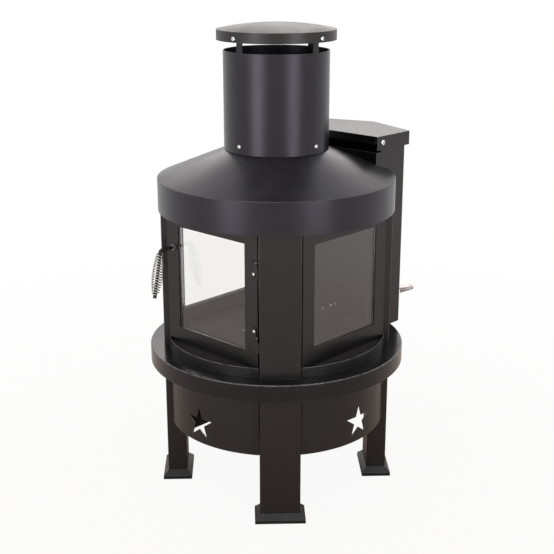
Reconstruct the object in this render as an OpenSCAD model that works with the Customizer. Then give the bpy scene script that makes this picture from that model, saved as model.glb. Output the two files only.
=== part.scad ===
// Pellet chiminea: a round firebox on four posts, with a hood, a chimney, a glazed door and a pellet hopper.
// Millimetres. Z is up, the door faces -Y, the hopper is on +Y, and Z = 0 is the ground.

/* [Posts] */
// Width of a post's outward face
post_w = 100; // [85:1:105]
// Depth of a post
post_t = 50; // [42:1:55]
// Wall of the post tube
post_wall = 2.5; // [1.5:0.5:4]
// Distance from the centre line to a post's outward face
post_out = 292; // [289:1:294]
// Corner radius of the post tube
post_corner = 3; // [1:0.5:8]

/* [Boots] */
// Margin of a boot round its post
boot_margin = 13; // [8:1:20]
// Height of the boot's upright rim
boot_rim = 9; // [5:1:15]
// Height of the boot
boot_h = 22; // [16:1:30]
// Floor of the boot under the post
boot_floor = 6; // [3:1:8]

/* [Shelf] */
// Diameter of the ring shelf
shelf_d = 660; // [620:5:720]
// Height of the shelf's top face
shelf_z = 381; // [360:1:400]
// Depth of the shelf's skirt
shelf_skirt = 43; // [25:1:60]
// Sheet thickness of the shelf
shelf_sheet = 2; // [1.5:0.5:3]
// Radius of the shelf's rolled edge
shelf_roll = 2.5; // [2.5:0.5:8]

/* [Drum] */
// Diameter of the drum
drum_d = 565; // [560:1:568]
// Height of the drum's lower edge
drum_z = 175; // [150:1:190]
// How far the drum's lip stands above the shelf
lip_h = 23.5; // [15:0.5:30]
// Sheet thickness of the drum
drum_sheet = 2; // [1.5:0.5:3]
// Gap between a drum panel and a post
drum_gap = 2; // [1:0.5:4]
// Radius through the star's tips
star_r = 43; // [30:1:50]
// Height of the star's centre
star_z = 228; // [222:1:245]

/* [Firebox] */
// Distance from the centre line to the outer face of a side panel
box_out = 233; // [230:0.5:234]
// Sheet thickness of the firebox panels
box_sheet = 2.5; // [2:0.5:3]
// Half width of a side panel
box_half = 157.5; // [150:0.5:158]
// Height of the firebox floor's top face
floor_z = 398; // [392:1:400]
// Sheet thickness of the firebox floor
floor_sheet = 2; // [1.5:0.5:3]
// Width of a window opening
win_w = 233; // [200:1:234]
// Height of a window's lower edge
win_z0 = 442; // [435:1:470]
// Height of a side window's upper edge
win_z1 = 702; // [660:1:706]
// Height of the door window's upper edge
door_win_z1 = 706; // [660:1:707]
// Overlap of the glass on its frame
glass_lap = 4.5; // [3:0.5:5]
// Thickness of the glass
glass_t = 5; // [4:0.5:5.5]
// Height of the tie plate's lower face
tie_z = 747; // [740:1:752]

/* [Door] */
// Distance from the centre line to the door's outer face
door_out = 234; // [233:0.5:235]
// Half width of the door
door_half = 158; // [152:0.5:158.5]
// Thickness of the door frame
door_t = 3; // [2:0.5:3.5]
// Height of the door's lower edge
door_z0 = 408; // [406:1:411]
// Height of the door's upper edge
door_z1 = 732; // [728:1:733]
// Distance of the hinge axis from the centre plane
hinge_x = 160.5; // [160:0.1:161]
// Distance of the hinge axis in front of the centre line
hinge_y = 240; // [239.5:0.1:241]
// Height of the upper hinge
hinge_hi_z = 655; // [640:1:690]
// Height of the lower hinge
hinge_lo_z = 470; // [450:1:500]
// Radius of the hinge pin
pin_r = 2.5; // [2:0.1:2.8]
// Radius of the hinge knuckle
knuckle_r = 4.5; // [4.1:0.1:5]
// Height of one knuckle
knuckle_h = 14; // [10:1:20]

/* [Latch] */
// Distance of the latch shaft from the centre plane
latch_x = 130; // [129.5:0.1:130.2]
// Height of the latch shaft
latch_z = 651; // [600:1:680]
// Radius of the latch rod
rod_r = 4.75; // [4:0.05:4.8]
// How far the rod stands out of the door before it bends
rod_reach = 46; // [35:1:60]
// Lean of the grip away from the door, in degrees
grip_lean = 11.5; // [0:0.5:20]
// Length of the spring grip
grip_len = 107; // [90:1:125]
// Largest outer radius of the spring grip
grip_r = 15; // [11:0.5:16]
// Radius of the spring wire
wire_r = 1.4; // [1.2:0.1:1.5]
// Turns of the spring grip
grip_turns = 16; // [12:1:18]

/* [Hood] */
// Diameter of the hood
hood_d = 600; // [599:1:602]
// Height of the hood's lower edge
hood_z0 = 736; // [734:1:740]
// Height of the hood's shoulder
hood_z1 = 816; // [800:1:840]
// Height at which the cone meets the chimney
cone_z = 886.3; // [870:0.1:900]
// Sheet thickness of the hood
hood_sheet = 2; // [1.5:0.5:2.5]

/* [Chimney] */
// Diameter of the chimney
flue_d = 262; // [220:1:265]
// Height of the chimney's top
flue_z1 = 1128; // [1050:1:1250]
// Sheet thickness of the chimney
flue_sheet = 2; // [1.5:0.5:3]
// Diameter of the cap
cap_d = 294; // [286:1:320]
// Gap between the chimney's top and the cap
cap_gap = 25; // [17:1:42]
// Depth of the cap's skirt
cap_skirt = 25; // [18:1:40]
// Rise of the cap's dome
cap_rise = 15; // [8:1:30]
// Width of a cap strap
strap_w = 19; // [14:1:30]

/* [Hopper] */
// Width of the hopper body
hop_w = 314; // [280:1:315]
// Distance from the centre line to the hopper's throat wall above the hood
hop_in = 205; // [195:1:210]
// Distance to the rear corner at the hopper's sides
hop_side = 324; // [310:1:330]
// Distance to the rear apex of the hopper
hop_apex = 378; // [360:1:395]
// Sheet thickness of the hopper
hop_sheet = 2; // [1.5:0.5:3]
// Height of the lid's top face
lid_z = 906; // [895:1:930]
// Depth of the lid's skirt
lid_skirt = 36; // [30:1:38]
// Overhang of the lid at the rear
lid_over = 16; // [10:1:22]
// Height of the lid pivots below the lid's top face
pivot_drop = 17; // [14:0.5:20]
// Distance of the lid pivots behind the throat wall
pivot_back = 21; // [18:0.5:24]

/* [Fire pot and ash] */
// Width of the fire pot
pot_w = 114; // [100:1:120]
// Height of the fire pot's rim
pot_z1 = 452; // [420:1:470]
// Height of the fire pot's lower edge
pot_z0 = 300; // [285:1:310]
// Half width between the ash housing's plates
ash_half = 70; // [66:1:74]
// Height of the ash drawer
ash_h = 48; // [35:1:52]

/* [Hidden] */

// Gap between seated pieces, running clearance of a pin, and overrun of a cut
seat = 0.3;
run = 0.04;
over = 5;
smooth = 96;
fine = 32;

// Worked-out heights and radii
shelf_r = shelf_d / 2;
drum_r = drum_d / 2;
hood_r = hood_d / 2;
flue_r = flue_d / 2;
cap_r = cap_d / 2;
cap_z0 = flue_z1 + cap_gap;
lip_z = shelf_z + lip_h;
cone_top_r = flue_r - flue_sheet;
cone_slope = (cone_z - hood_z1 - seat) / (hood_r - cone_top_r);
cone_sheet_z = hood_sheet * sqrt(1 + cone_slope * cone_slope);
post_z1 = tie_z - seat;
post_mid = post_out - post_t / 2;
post_angles = [-45, 45, 135, -135];

// Half width left between two posts at a distance out from the centre line
function between(out) = out - post_w / sqrt(2);

// Points of an arc, counted anticlockwise from angle a to angle b
function arc(cx, cy, r, a, b, n) = [for (i = [0:n])
    let (t = a + (b - a) * i / n)
    [cx + r * cos(t), cy + r * sin(t)]];

// A rectangle centred on the origin with round corners
module round_rect(w, t, r) {
    square([w - 2 * r, t], center = true);
    square([w, t - 2 * r], center = true);
    for (x = [-1, 1], y = [-1, 1])
        translate([x * (w / 2 - r), y * (t / 2 - r)])
            circle(r = r, $fn = fine);
}

// An upright block given by its two opposite corners
module block(a, b) {
    translate(a)
        cube(b - a);
}

// Places a child on a post's axis, with +X pointing outwards
module at_post(angle) {
    rotate([0, 0, angle])
        translate([post_mid, 0, 0])
            children();
}

// The room that the four posts take up, widened by a gap
module post_room(z0, z1, gap) {
    for (angle = post_angles)
        at_post(angle)
            translate([0, 0, (z0 + z1) / 2])
                cube([post_t + 2 * gap, post_w + 2 * gap, z1 - z0], center = true);
}

// A ring between two radii
module ring(r_out, r_in, z0, z1) {
    translate([0, 0, z0])
        difference() {
            cylinder(r = r_out, h = z1 - z0, $fn = smooth);
            translate([0, 0, -over])
                cylinder(r = r_in, h = z1 - z0 + 2 * over, $fn = smooth);
        }
}

// A screw with a domed head, head outwards along +Z, seated on Z = 0
module dome_screw(head_r, head_h, shank_r, shank_len) {
    ball_r = (head_r * head_r + head_h * head_h) / (2 * head_h);
    intersection() {
        translate([0, 0, head_h - ball_r])
            sphere(r = ball_r, $fn = fine);
        cylinder(r = head_r, h = head_h, $fn = fine);
    }
    translate([0, 0, -shank_len])
        cylinder(r = shank_r, h = shank_len, $fn = fine);
}

// Posts

module post(angle) {
    color("#302f30")
    at_post(angle)
        translate([0, 0, boot_floor + seat])
            difference() {
                linear_extrude(post_z1 - boot_floor - seat)
                    round_rect(post_t, post_w, post_corner);
                translate([0, 0, -over])
                    linear_extrude(post_z1 + 2 * over)
                        square([post_t - 2 * post_wall, post_w - 2 * post_wall], center = true);
            }
}

// Boots: an upright rim, sloped shoulders, and a pocket for the post

function boot_side(half) = let (top = half - boot_margin + 2 * seat)
    [[-half, 0], [half, 0], [half, boot_rim], [top, boot_h], [-top, boot_h], [-half, boot_rim]];

module boot(angle) {
    half_t = post_t / 2 + boot_margin;
    half_w = post_w / 2 + boot_margin;
    color("#333233")
    at_post(angle)
        difference() {
            intersection() {
                rotate([90, 0, 0])
                    translate([0, 0, -half_w])
                        linear_extrude(2 * half_w)
                            polygon(boot_side(half_t));
                rotate([90, 0, 90])
                    translate([0, 0, -half_t])
                        linear_extrude(2 * half_t)
                            polygon(boot_side(half_w));
            }
            translate([0, 0, boot_floor])
                linear_extrude(boot_h)
                    square([post_t + 2 * seat, post_w + 2 * seat], center = true);
        }
}

// Ring shelf: a flat annulus with a rolled edge and a skirt

module ring_shelf() {
    inner = drum_r + seat;
    roll_in = shelf_roll - shelf_sheet;
    color("#2b2a2b")
        difference() {
            rotate_extrude($fn = smooth)
                polygon(concat(
                    [[inner, shelf_z - shelf_sheet], [shelf_r - shelf_roll, shelf_z - shelf_sheet]],
                    arc(shelf_r - shelf_roll, shelf_z - shelf_roll, roll_in, 90, 0, 4),
                    [[shelf_r - shelf_sheet, shelf_z - shelf_skirt], [shelf_r, shelf_z - shelf_skirt]],
                    arc(shelf_r - shelf_roll, shelf_z - shelf_roll, shelf_roll, 0, 90, 4),
                    [[inner, shelf_z]]));
            post_room(shelf_z - shelf_skirt - over, shelf_z + over, seat);
        }
}

// Drum panels, with a star or the drawer's opening: each ends short of the posts, and a thin strip
// behind its end closes the groove, so the dark inside doesn't show

lap_w = 14;

module star(r) {
    inner_share = 0.382;
    polygon([for (i = [0:9])
        let (a = 90 + 36 * i, q = i % 2 == 0 ? r : inner_share * r)
        [q * cos(a), q * sin(a)]]);
}

module drum_panel(angle) {
    lap_r = drum_r - 2 * drum_sheet;
    rotate([0, 0, angle])
        intersection() {
            difference() {
                ring(drum_r, lap_r, drum_z, lip_z);
                post_room(drum_z - over, lip_z + over, seat);
                intersection() {
                    ring(drum_r + over, drum_r - drum_sheet, drum_z - over, lip_z + over);
                    post_room(drum_z - over, lip_z + over, drum_gap);
                }
                difference() {
                    ring(drum_r - drum_sheet, lap_r - over, drum_z - over, lip_z + over);
                    post_room(drum_z - over, floor_z - floor_sheet - seat, lap_w);
                }
            }
            block([drum_r / sqrt(2), -drum_r, drum_z - over], [drum_r + over, drum_r, lip_z + over]);
        }
}

module star_panel(angle) {
    color("#2e2c2c")
        difference() {
            drum_panel(angle);
            rotate([0, 0, angle])
                translate([post_out / 2, 0, star_z])
                    rotate([90, 0, 90])
                        linear_extrude(drum_r)
                            star(star_r);
        }
}

ash_plate = 2;
drawer_gap_x = ash_half + ash_plate + seat;
drawer_top = drum_z + ash_plate + seat + ash_h;

module drum_back() {
    color("#2e2c2c")
        difference() {
            drum_panel(90);
            block([-drawer_gap_x, drum_r / 2, drum_z - over],
                  [drawer_gap_x, drum_r + over, drawer_top + over]);
        }
}

// Firebox floor, with the opening for the fire pot and the chute

floor_slot_y = 205;

module floor_plate() {
    half = pot_w / 2 + seat;
    color("#232323")
        difference() {
            translate([0, 0, floor_z - floor_sheet])
                cylinder(r = drum_r - drum_sheet - seat, h = floor_sheet, $fn = smooth);
            post_room(floor_z - over, floor_z + over, seat);
            block([-half, -half, floor_z - over], [half, floor_slot_y, floor_z + over]);
        }
}

// Ash housing: two plates under the floor, runners for the drawer and a stop

ash_plate_y = 260;
runner_y0 = -120;
runner_w = 10;

module ash_housing() {
    top = floor_z - floor_sheet - seat;
    color("#2a2828") {
        for (side = [-1, 1]) {
            block([side > 0 ? ash_half : -ash_half - ash_plate, -ash_plate_y, drum_z],
                  [side > 0 ? ash_half + ash_plate : -ash_half, ash_plate_y, top]);
            block([side > 0 ? ash_half - runner_w : -ash_half, runner_y0, drum_z],
                  [side > 0 ? ash_half : runner_w - ash_half, ash_plate_y, drum_z + ash_plate]);
        }
        block([-ash_half, runner_y0 - ash_plate, drum_z], [ash_half, runner_y0, drawer_top + runner_w]);
    }
}

// Ash drawer: a tray on the runners with a curved front and a folded pull

drawer_wall = 1.5;
drawer_side = 0.8;
drawer_front_half = 80;
drawer_front_t = 2;
drawer_cover = 10;
pull_half = 35;
pull_out = 22;
pull_lip = 8;

module ash_drawer() {
    z0 = drum_z + ash_plate + seat;
    x1 = ash_half - drawer_side;
    y0 = runner_y0 + seat;
    face_r = drum_r + seat;
    pull_z = drawer_top - pull_lip;
    pull_y = face_r + pull_out;
    color("#2b2a2b") {
        intersection() {
            difference() {
                block([-x1, y0, z0], [x1, pull_y, drawer_top]);
                intersection() {
                    block([drawer_wall - x1, y0 + drawer_wall, z0 + drawer_wall],
                          [x1 - drawer_wall, pull_y, drawer_top + over]);
                    translate([0, 0, z0])
                        cylinder(r = face_r - drawer_wall, h = ash_h + over, $fn = smooth);
                }
            }
            translate([0, 0, z0])
                cylinder(r = face_r + drawer_front_t, h = ash_h, $fn = smooth);
        }
        intersection() {
            ring(face_r + drawer_front_t, face_r, z0, drawer_top + drawer_cover);
            block([-drawer_front_half, 0, z0], [drawer_front_half, pull_y, drawer_top + drawer_cover]);
        }
        block([-pull_half, face_r, pull_z], [pull_half, pull_y, pull_z + drawer_wall]);
        block([-pull_half, pull_y - drawer_wall, pull_z - pull_lip],
              [pull_half, pull_y, pull_z + drawer_wall]);
    }
}

// Fire pot: a square perforated box hung in the floor by its rim, open at the back for the chute

pot_wall = 3;
pot_lug = 9;
pot_hole_r = 4;
pot_rows = 4;
pot_cols = 5;
pot_row_step = 24;
ledge_w = 5;
ledge_t = 4;
ledge_z = 306;

module pot_holes() {
    step = pot_w / (pot_cols + 1);
    for (i = [1:pot_cols], j = [1:pot_rows]) {
        z = pot_z1 - j * pot_row_step + (j > 2 ? -pot_row_step : pot_row_step / 3);
        translate([i * step - pot_w / 2, 0, z])
            rotate([90, 0, 0])
                cylinder(r = pot_hole_r, h = pot_w + 2 * over, $fn = fine);
        translate([-pot_w / 2 - over, i * step - pot_w / 2, z])
            rotate([0, 90, 0])
                cylinder(r = pot_hole_r, h = pot_w + 2 * over, $fn = fine);
    }
}

module fire_pot() {
    half = pot_w / 2;
    inner = half - pot_wall;
    rim_z = floor_z + seat;
    color("#5b5450") {
        difference() {
            block([-half, -half, pot_z0], [half, half, pot_z1]);
            block([-inner, -inner, pot_z0 - over], [inner, inner, pot_z1 + over]);
            block([-inner, 0, chute_mouth_z], [inner, half + over, pot_z1 + over]);
            pot_holes();
        }
        for (side = [-1, 1]) {
            block([side > 0 ? inner : -half - pot_lug, -half, rim_z],
                  [side > 0 ? half + pot_lug : -inner, half, rim_z + pot_wall]);
            block([side > 0 ? inner - ledge_w : -half, -half, ledge_z],
                  [side > 0 ? half : ledge_w - inner, half, ledge_z + ledge_t]);
        }
        block([-half - pot_lug, -half - pot_lug, rim_z], [half + pot_lug, -inner, rim_z + pot_wall]);
    }
}

// Grate: a slotted plate that rests on two ledges inside the pot

grate_t = 4;
grate_slots = 8;
grate_slot_w = 5;
grate_border = 10;

module pot_grate() {
    inner = pot_w / 2 - pot_wall - seat;
    step = 2 * inner / (grate_slots + 1);
    z0 = ledge_z + ledge_t + seat;
    color("#4a4643")
        difference() {
            block([-inner, -inner, z0], [inner, inner, z0 + grate_t]);
            for (i = [1:grate_slots])
                block([i * step - inner - grate_slot_w / 2, grate_border - inner, z0 - over],
                      [i * step - inner + grate_slot_w / 2, inner - grate_border, z0 + over]);
        }
}

// Feed chute: a sloping trough from under the hopper's throat to the fire pot

chute_sheet = 2;
chute_y0 = pot_w / 2 + seat;
chute_y1 = 290;
chute_mouth_z = 318;
chute_top_z = 452;
chute_slope = (chute_top_z - chute_mouth_z) / (chute_y1 - chute_y0);
chute_sheet_z = chute_sheet * sqrt(1 + chute_slope * chute_slope);
gate_z = 470;
gate_sheet = 2;
throat_y0 = 236;
chute_flange = 11;
cover_z = 464;
cover_y0 = 100;
cover_y1 = 230;
cover_skirt = 24;

function chute_floor(y) = chute_mouth_z + (y - chute_y0) * chute_slope;

module chute_profile(lower, upper) {
    polygon([
        [chute_y0, chute_floor(chute_y0) - lower], [chute_y1, chute_floor(chute_y1) - lower],
        [chute_y1, gate_z - seat], [throat_y0 + over, gate_z - seat], [throat_y0 + over, cover_z - seat],
        [chute_y0 + upper, cover_z - seat], [chute_y0, cover_z - seat - upper]]);
}

module feed_chute() {
    half = pot_w / 2;
    mouth_cut = 12;
    color("#4d4948") {
        difference() {
            rotate([90, 0, 90])
                translate([0, 0, -half])
                    linear_extrude(2 * half)
                        chute_profile(chute_sheet_z, mouth_cut);
            rotate([90, 0, 90])
                translate([0, 0, chute_sheet - half])
                    linear_extrude(2 * half - 2 * chute_sheet)
                        polygon([[chute_y0 - over, chute_floor(chute_y0 - over)],
                                 [chute_y1 - chute_sheet, chute_floor(chute_y1 - chute_sheet)],
                                 [chute_y1 - chute_sheet, gate_z + over], [chute_y0 - over, gate_z + over]]);
            for (side = [-1, 1], y = cover_screw_ys)
                translate([side * half, y, cover_screw_z])
                    rotate([0, 90, 0])
                        cylinder(r = small_shank_r + run, h = 4 * chute_sheet, center = true, $fn = fine);
        }
        for (side = [-1, 1])
            block([side > 0 ? half - chute_sheet : -half - chute_flange, throat_y0 + over,
                   gate_z - seat - chute_sheet],
                  [side > 0 ? half + chute_flange : chute_sheet - half, chute_y1, gate_z - seat]);
    }
}

// Chute cover and its screws

cover_screw_ys = [115, 147, 164];
cover_screw_z = 447;
small_head_r = 4;
small_head_h = 2.4;
small_shank_r = 2;

module chute_cover() {
    half = pot_w / 2 + seat + chute_sheet;
    color("#4d4948")
        difference() {
            block([-half, cover_y0, cover_z - cover_skirt], [half, cover_y1, cover_z + chute_sheet]);
            block([chute_sheet - half, cover_y0 - over, cover_z - cover_skirt - over],
                  [half - chute_sheet, cover_y1 + over, cover_z]);
            for (side = [-1, 1], y = cover_screw_ys)
                translate([side * half, y, cover_screw_z])
                    rotate([0, 90, 0])
                        cylinder(r = small_shank_r + run, h = 4 * chute_sheet, center = true, $fn = fine);
        }
}

module chute_screws() {
    face = pot_w / 2 + seat + chute_sheet + seat;
    color("#c9c9c7")
        for (side = [-1, 1], y = cover_screw_ys)
            translate([side * face, y, cover_screw_z])
                rotate([0, side * 90, 0])
                    dome_screw(small_head_r, small_head_h, small_shank_r, 2 * chute_sheet + 2 * seat);
}

// Side and back panels: a plate between two posts with folded edges

return_in = 12;
return_at = 144;
box_z0 = floor_z + seat;
box_z1 = tie_z - seat;

module panel_blank() {
    difference() {
        block([box_out - box_sheet, -box_half, box_z0], [box_out, box_half, box_z1]);
        ring(drum_r + over, drum_r - drum_sheet - seat, box_z0 - over, lip_z + seat);
    }
    for (side = [-1, 1])
        block([box_out - box_sheet - return_in, side > 0 ? return_at : -return_at - box_sheet, box_z0],
              [box_out, side > 0 ? return_at + box_sheet : -return_at, box_z1]);
}

ear_w = 12;
ear_out = 10;
ear_t = 1.5;
ear_shares = [0.15, 0.5, 0.85];

function ear_z(z0, z1, share) = z0 + (z1 - z0) * share;

module side_panel(angle) {
    color("#262525")
        rotate([0, 0, angle])
            difference() {
                panel_blank();
                block([box_out - box_sheet - over, -win_w / 2, win_z0], [box_out + over, win_w / 2, win_z1]);
                for (side = [-1, 1], share = ear_shares)
                    translate([box_out - box_sheet, side * ear_mid, ear_z(win_z0, win_z1, share)])
                        rotate([0, 90, 0])
                            cylinder(r = small_shank_r + run, h = 2 * ear_bite, center = true, $fn = fine);
            }
}

chute_gap = 1;

module panel_back() {
    color("#262525")
        difference() {
            rotate([0, 0, 90])
                panel_blank();
            block([-pot_w / 2 - chute_gap, box_out - box_sheet - over, chute_hole_z0],
                  [pot_w / 2 + chute_gap, box_out + over, cover_z + chute_sheet]);
        }
}

chute_hole_z0 = chute_floor(box_out - box_sheet) - chute_sheet_z - seat;

// A window: the pane and the bare metal retainer that holds it from inside
// The plate's inner face is at x = face, and z0, z1 are the opening's edges

glass_half = win_w / 2 + glass_lap;
rim_in = glass_half + seat;
rim_t = 2;
lap_back = 3.5;
ear_mid = rim_in + rim_t + ear_out / 2;
ear_bite = 2;

module pane(face, z0, z1) {
    block([face - seat - glass_t, -glass_half, z0 - glass_lap], [face - seat, glass_half, z1 + glass_lap]);
}

module retainer(face, z0, z1) {
    rim_z0 = z0 - glass_lap - seat;
    rim_z1 = z1 + glass_lap + seat;
    back = face - seat - glass_t - seat;
    difference() {
        union() {
            block([back - ear_t, -rim_in - rim_t, rim_z0 - rim_t],
                  [face - seat, rim_in + rim_t, rim_z1 + rim_t]);
            for (side = [-1, 1], share = ear_shares) {
                z = ear_z(z0, z1, share);
                block([face - seat - ear_t, side * ear_mid - ear_out, z - ear_w / 2],
                      [face - seat, side * ear_mid + ear_out, z + ear_w / 2]);
            }
        }
        block([back, -rim_in, rim_z0], [face + over, rim_in, rim_z1]);
        block([back - ear_t - over, lap_back - rim_in, rim_z0 + lap_back],
              [face + over, rim_in - lap_back, rim_z1 - lap_back]);
        for (side = [-1, 1], share = ear_shares) {
            block([face - seat - ear_t - over,
                   side > 0 ? ear_mid + ear_out / 2 : -ear_mid - 2 * ear_out, z0],
                  [face + over, side > 0 ? ear_mid + 2 * ear_out : -ear_mid - ear_out / 2, z1]);
            translate([face - seat, side * ear_mid, ear_z(z0, z1, share)])
                rotate([0, 90, 0])
                    cylinder(r = small_shank_r + run, h = 4 * ear_t, center = true, $fn = fine);
        }
    }
}

module window_screws(face, z0, z1) {
    for (side = [-1, 1], share = ear_shares)
        translate([face - seat - ear_t - seat, side * ear_mid, ear_z(z0, z1, share)])
            rotate([0, -90, 0])
                dome_screw(small_head_r, small_head_h, small_shank_r, ear_t + 2 * seat + ear_bite - seat);
}

module side_glass(angle) {
    color([0.42, 0.40, 0.39, 0.6])
        rotate([0, 0, angle])
            pane(box_out - box_sheet, win_z0, win_z1);
}

module side_retainer(angle) {
    color("#8d8a86")
        rotate([0, 0, angle])
            retainer(box_out - box_sheet, win_z0, win_z1);
}

module retainer_screws() {
    color("#c9c9c7")
        for (angle = [0, 180])
            rotate([0, 0, angle])
                window_screws(box_out - box_sheet, win_z0, win_z1);
}

// Door: jamb, frame, pane, retainer and gasket, facing -Y

jamb_gap = 7;
jamb_t = 2;
jamb_out = door_out - door_t - jamb_gap;
jamb_clear = 0.5;
jamb_open = 138;
jamb_z0 = 423;
jamb_z1 = 717;
gasket_in = 137.5;
gasket_w = 10;
gasket_top = 719;
gasket_bottom = 421;
shaft_clear = 0.4;

module door_jamb() {
    half = between(jamb_out - jamb_t) - jamb_clear;
    color("#232222")
        difference() {
            block([-half, -jamb_out, box_z0], [half, jamb_t - jamb_out, box_z1]);
            block([-jamb_open, -jamb_out - over, jamb_z0], [jamb_open, jamb_t - jamb_out + over, jamb_z1]);
        }
}

module door_frame() {
    color("#262525")
        difference() {
            block([-door_half, -door_out, door_z0], [door_half, door_t - door_out, door_z1]);
            block([-win_w / 2, -door_out - over, win_z0],
                  [win_w / 2, door_t - door_out + over, door_win_z1]);
            translate([-latch_x, -door_out, latch_z])
                rotate([90, 0, 0])
                    cylinder(r = rod_r + shaft_clear, h = 4 * door_t, center = true, $fn = fine);
            rotate([0, 0, -90])
                for (side = [-1, 1], share = ear_shares)
                    translate([door_out - door_t, side * ear_mid, ear_z(win_z0, door_win_z1, share)])
                        rotate([0, 90, 0])
                            cylinder(r = small_shank_r + run, h = 2 * ear_bite, center = true, $fn = fine);
            for (h = hinges)
                translate([hinge_screw_x, -door_out, h[0] + h[3]])
                    rotate([90, 0, 0])
                        cylinder(r = hinge_shank_r + run, h = 2 * hinge_bite, center = true, $fn = fine);
        }
}

module door_glass() {
    color([0.42, 0.40, 0.39, 0.6])
        rotate([0, 0, -90])
            pane(door_out - door_t, win_z0, door_win_z1);
}

module door_retainer() {
    color("#8d8a86")
        rotate([0, 0, -90])
            retainer(door_out - door_t, win_z0, door_win_z1);
}

module door_screws() {
    color("#c9c9c7")
        rotate([0, 0, -90])
            window_screws(door_out - door_t, win_z0, door_win_z1);
}

module door_gasket() {
    y0 = door_t - door_out + seat;
    y1 = -jamb_out - seat;
    color("#77736c")
        difference() {
            block([-gasket_in - gasket_w, y0, gasket_bottom - gasket_w],
                  [gasket_in + gasket_w, y1, gasket_top + gasket_w]);
            block([-gasket_in, y0 - over, gasket_bottom], [gasket_in, y1 + over, gasket_top]);
        }
}

// Hinges: [height, leaf below, leaf above, screw above the joint between the knuckles]

leaf_t = 2.2;
leaf_x = 136;
leaf_far_x = 154;
hinge_screw_x = 149;
hinge_shank_r = 2;
hinge_bite = 2.4;
hinge_end = 14;
hinges = [
    [hinge_hi_z, -23, hinge_end, -16],
    [hinge_lo_z, -hinge_end, 36, 27],
];

module hinge_leaves() {
    face = -door_out - seat;
    color("#2a2929")
        for (h = hinges)
            translate([0, 0, h[0]])
                difference() {
                    union() {
                        block([leaf_x, face - leaf_t, h[1]], [leaf_far_x, face, h[2]]);
                        block([leaf_far_x - leaf_t, face - leaf_t, seat / 2], [hinge_x, face, knuckle_h]);
                        block([hinge_x - leaf_t, -hinge_y, seat / 2], [hinge_x, face, knuckle_h]);
                        translate([hinge_x, -hinge_y, seat / 2])
                            cylinder(r = knuckle_r, h = knuckle_h - seat / 2, $fn = fine);
                    }
                    translate([hinge_x, -hinge_y, -knuckle_h])
                        cylinder(r = pin_r + run, h = 3 * knuckle_h, $fn = fine);
                    translate([hinge_screw_x, face, h[3]])
                        rotate([90, 0, 0])
                            cylinder(r = hinge_shank_r + run, h = 4 * leaf_t, center = true, $fn = fine);
                }
}

lug_h = 24;
lug_half = 4;

module hinge_lugs() {
    axis_out = (hinge_x + hinge_y) / sqrt(2) - post_mid;
    axis_side = (hinge_x - hinge_y) / sqrt(2);
    color("#2a2929")
        for (h = hinges)
            translate([0, 0, h[0]])
                difference() {
                    union() {
                        at_post(-45)
                            block([axis_out - lug_half, axis_side, -lug_h],
                                  [axis_out + lug_half, -post_w / 2 - seat, -seat / 2]);
                        translate([hinge_x, -hinge_y, -knuckle_h])
                            cylinder(r = knuckle_r, h = knuckle_h - seat / 2, $fn = fine);
                    }
                    translate([hinge_x, -hinge_y, -lug_h - over])
                        cylinder(r = pin_r + run, h = 2 * lug_h, $fn = fine);
                }
}

module hinge_pins() {
    pin_over = 1.5;
    color("#3b3938")
        for (h = hinges)
            translate([hinge_x, -hinge_y, h[0] - knuckle_h])
                cylinder(r = pin_r, h = 2 * knuckle_h + pin_over, $fn = fine);
}

module hinge_screws() {
    color("#c9c9c7")
        for (h = hinges)
            translate([hinge_screw_x, -door_out - seat - leaf_t - seat, h[0] + h[3]])
                rotate([90, 0, 0])
                    dome_screw(small_head_r, small_head_h, hinge_shank_r, leaf_t + hinge_bite);
}

// Latch: a rod through the door, cranked down into a spring grip, with a cam inside

bushing_r = 7;
bushing_t = 6;
bend_r = 6;
tenon_r = 3;
cam_t = 4;
cam_gap = 0.5;
cam_len = 15.5;
cam_w = 10;
cam_hub_r = 6;
nut_r = 5.5;
nut_t = 4;
cam_y = jamb_t - jamb_out + cam_gap;
grip_start = 0.5;
tip_len = 8;

module latch_bushing() {
    color("#8b8986")
        translate([-latch_x, -door_out - seat, latch_z])
            rotate([90, 0, 0])
                difference() {
                    cylinder(r = bushing_r, h = bushing_t, $fn = fine);
                    translate([0, 0, -over])
                        cylinder(r = rod_r + run, h = bushing_t + 2 * over, $fn = fine);
                }
}

// Places a child at the rod's bend, with -Z pointing down along the grip
module at_grip() {
    translate([-latch_x, -door_out - rod_reach, latch_z])
        rotate([-grip_lean, 0, 0])
            children();
}

module latch_rod() {
    bend_angle = 90 - grip_lean;
    bend_lap = 3;
    bend_back = bend_r * tan(bend_angle / 2);
    elbow_y = -door_out - rod_reach;
    grip_drop = grip_start + grip_len + tip_len;
    color("#262525") {
        translate([-latch_x, cam_y - seat, latch_z])
            rotate([90, 0, 0])
                cylinder(r = rod_r, h = cam_y - seat - elbow_y - bend_back, $fn = fine);
        translate([-latch_x, cam_y + cam_t + nut_t + 2 * seat, latch_z])
            rotate([90, 0, 0])
                cylinder(r = tenon_r, h = cam_t + nut_t + 4 * seat, $fn = fine);
        translate([-latch_x, elbow_y + bend_back, latch_z - bend_r])
            rotate([0, -90, 180])
                rotate([0, 0, -bend_lap])
                    rotate_extrude(angle = bend_angle + 2 * bend_lap, $fn = smooth)
                        translate([bend_r, 0])
                            circle(r = rod_r - run / 2, $fn = fine);
        at_grip()
            translate([0, 0, -bend_back - grip_drop])
                cylinder(r = rod_r, h = grip_drop, $fn = fine);
    }
}

// The grip: one wound wire, fullest in the middle, with straight ends

grip_rings = 8;
grip_sides = 6;
grip_top_r = 8;
grip_bottom_r = rod_r + wire_r + seat / 2;
swell_share = 0.75;
lean_share = 1.1;

function grip_radius(u) = grip_top_r + (grip_bottom_r - grip_top_r) * u
    + (grip_r - wire_r - (grip_top_r + grip_bottom_r) / 2) * pow(sin(180 * pow(u, lean_share)), swell_share);

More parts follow.
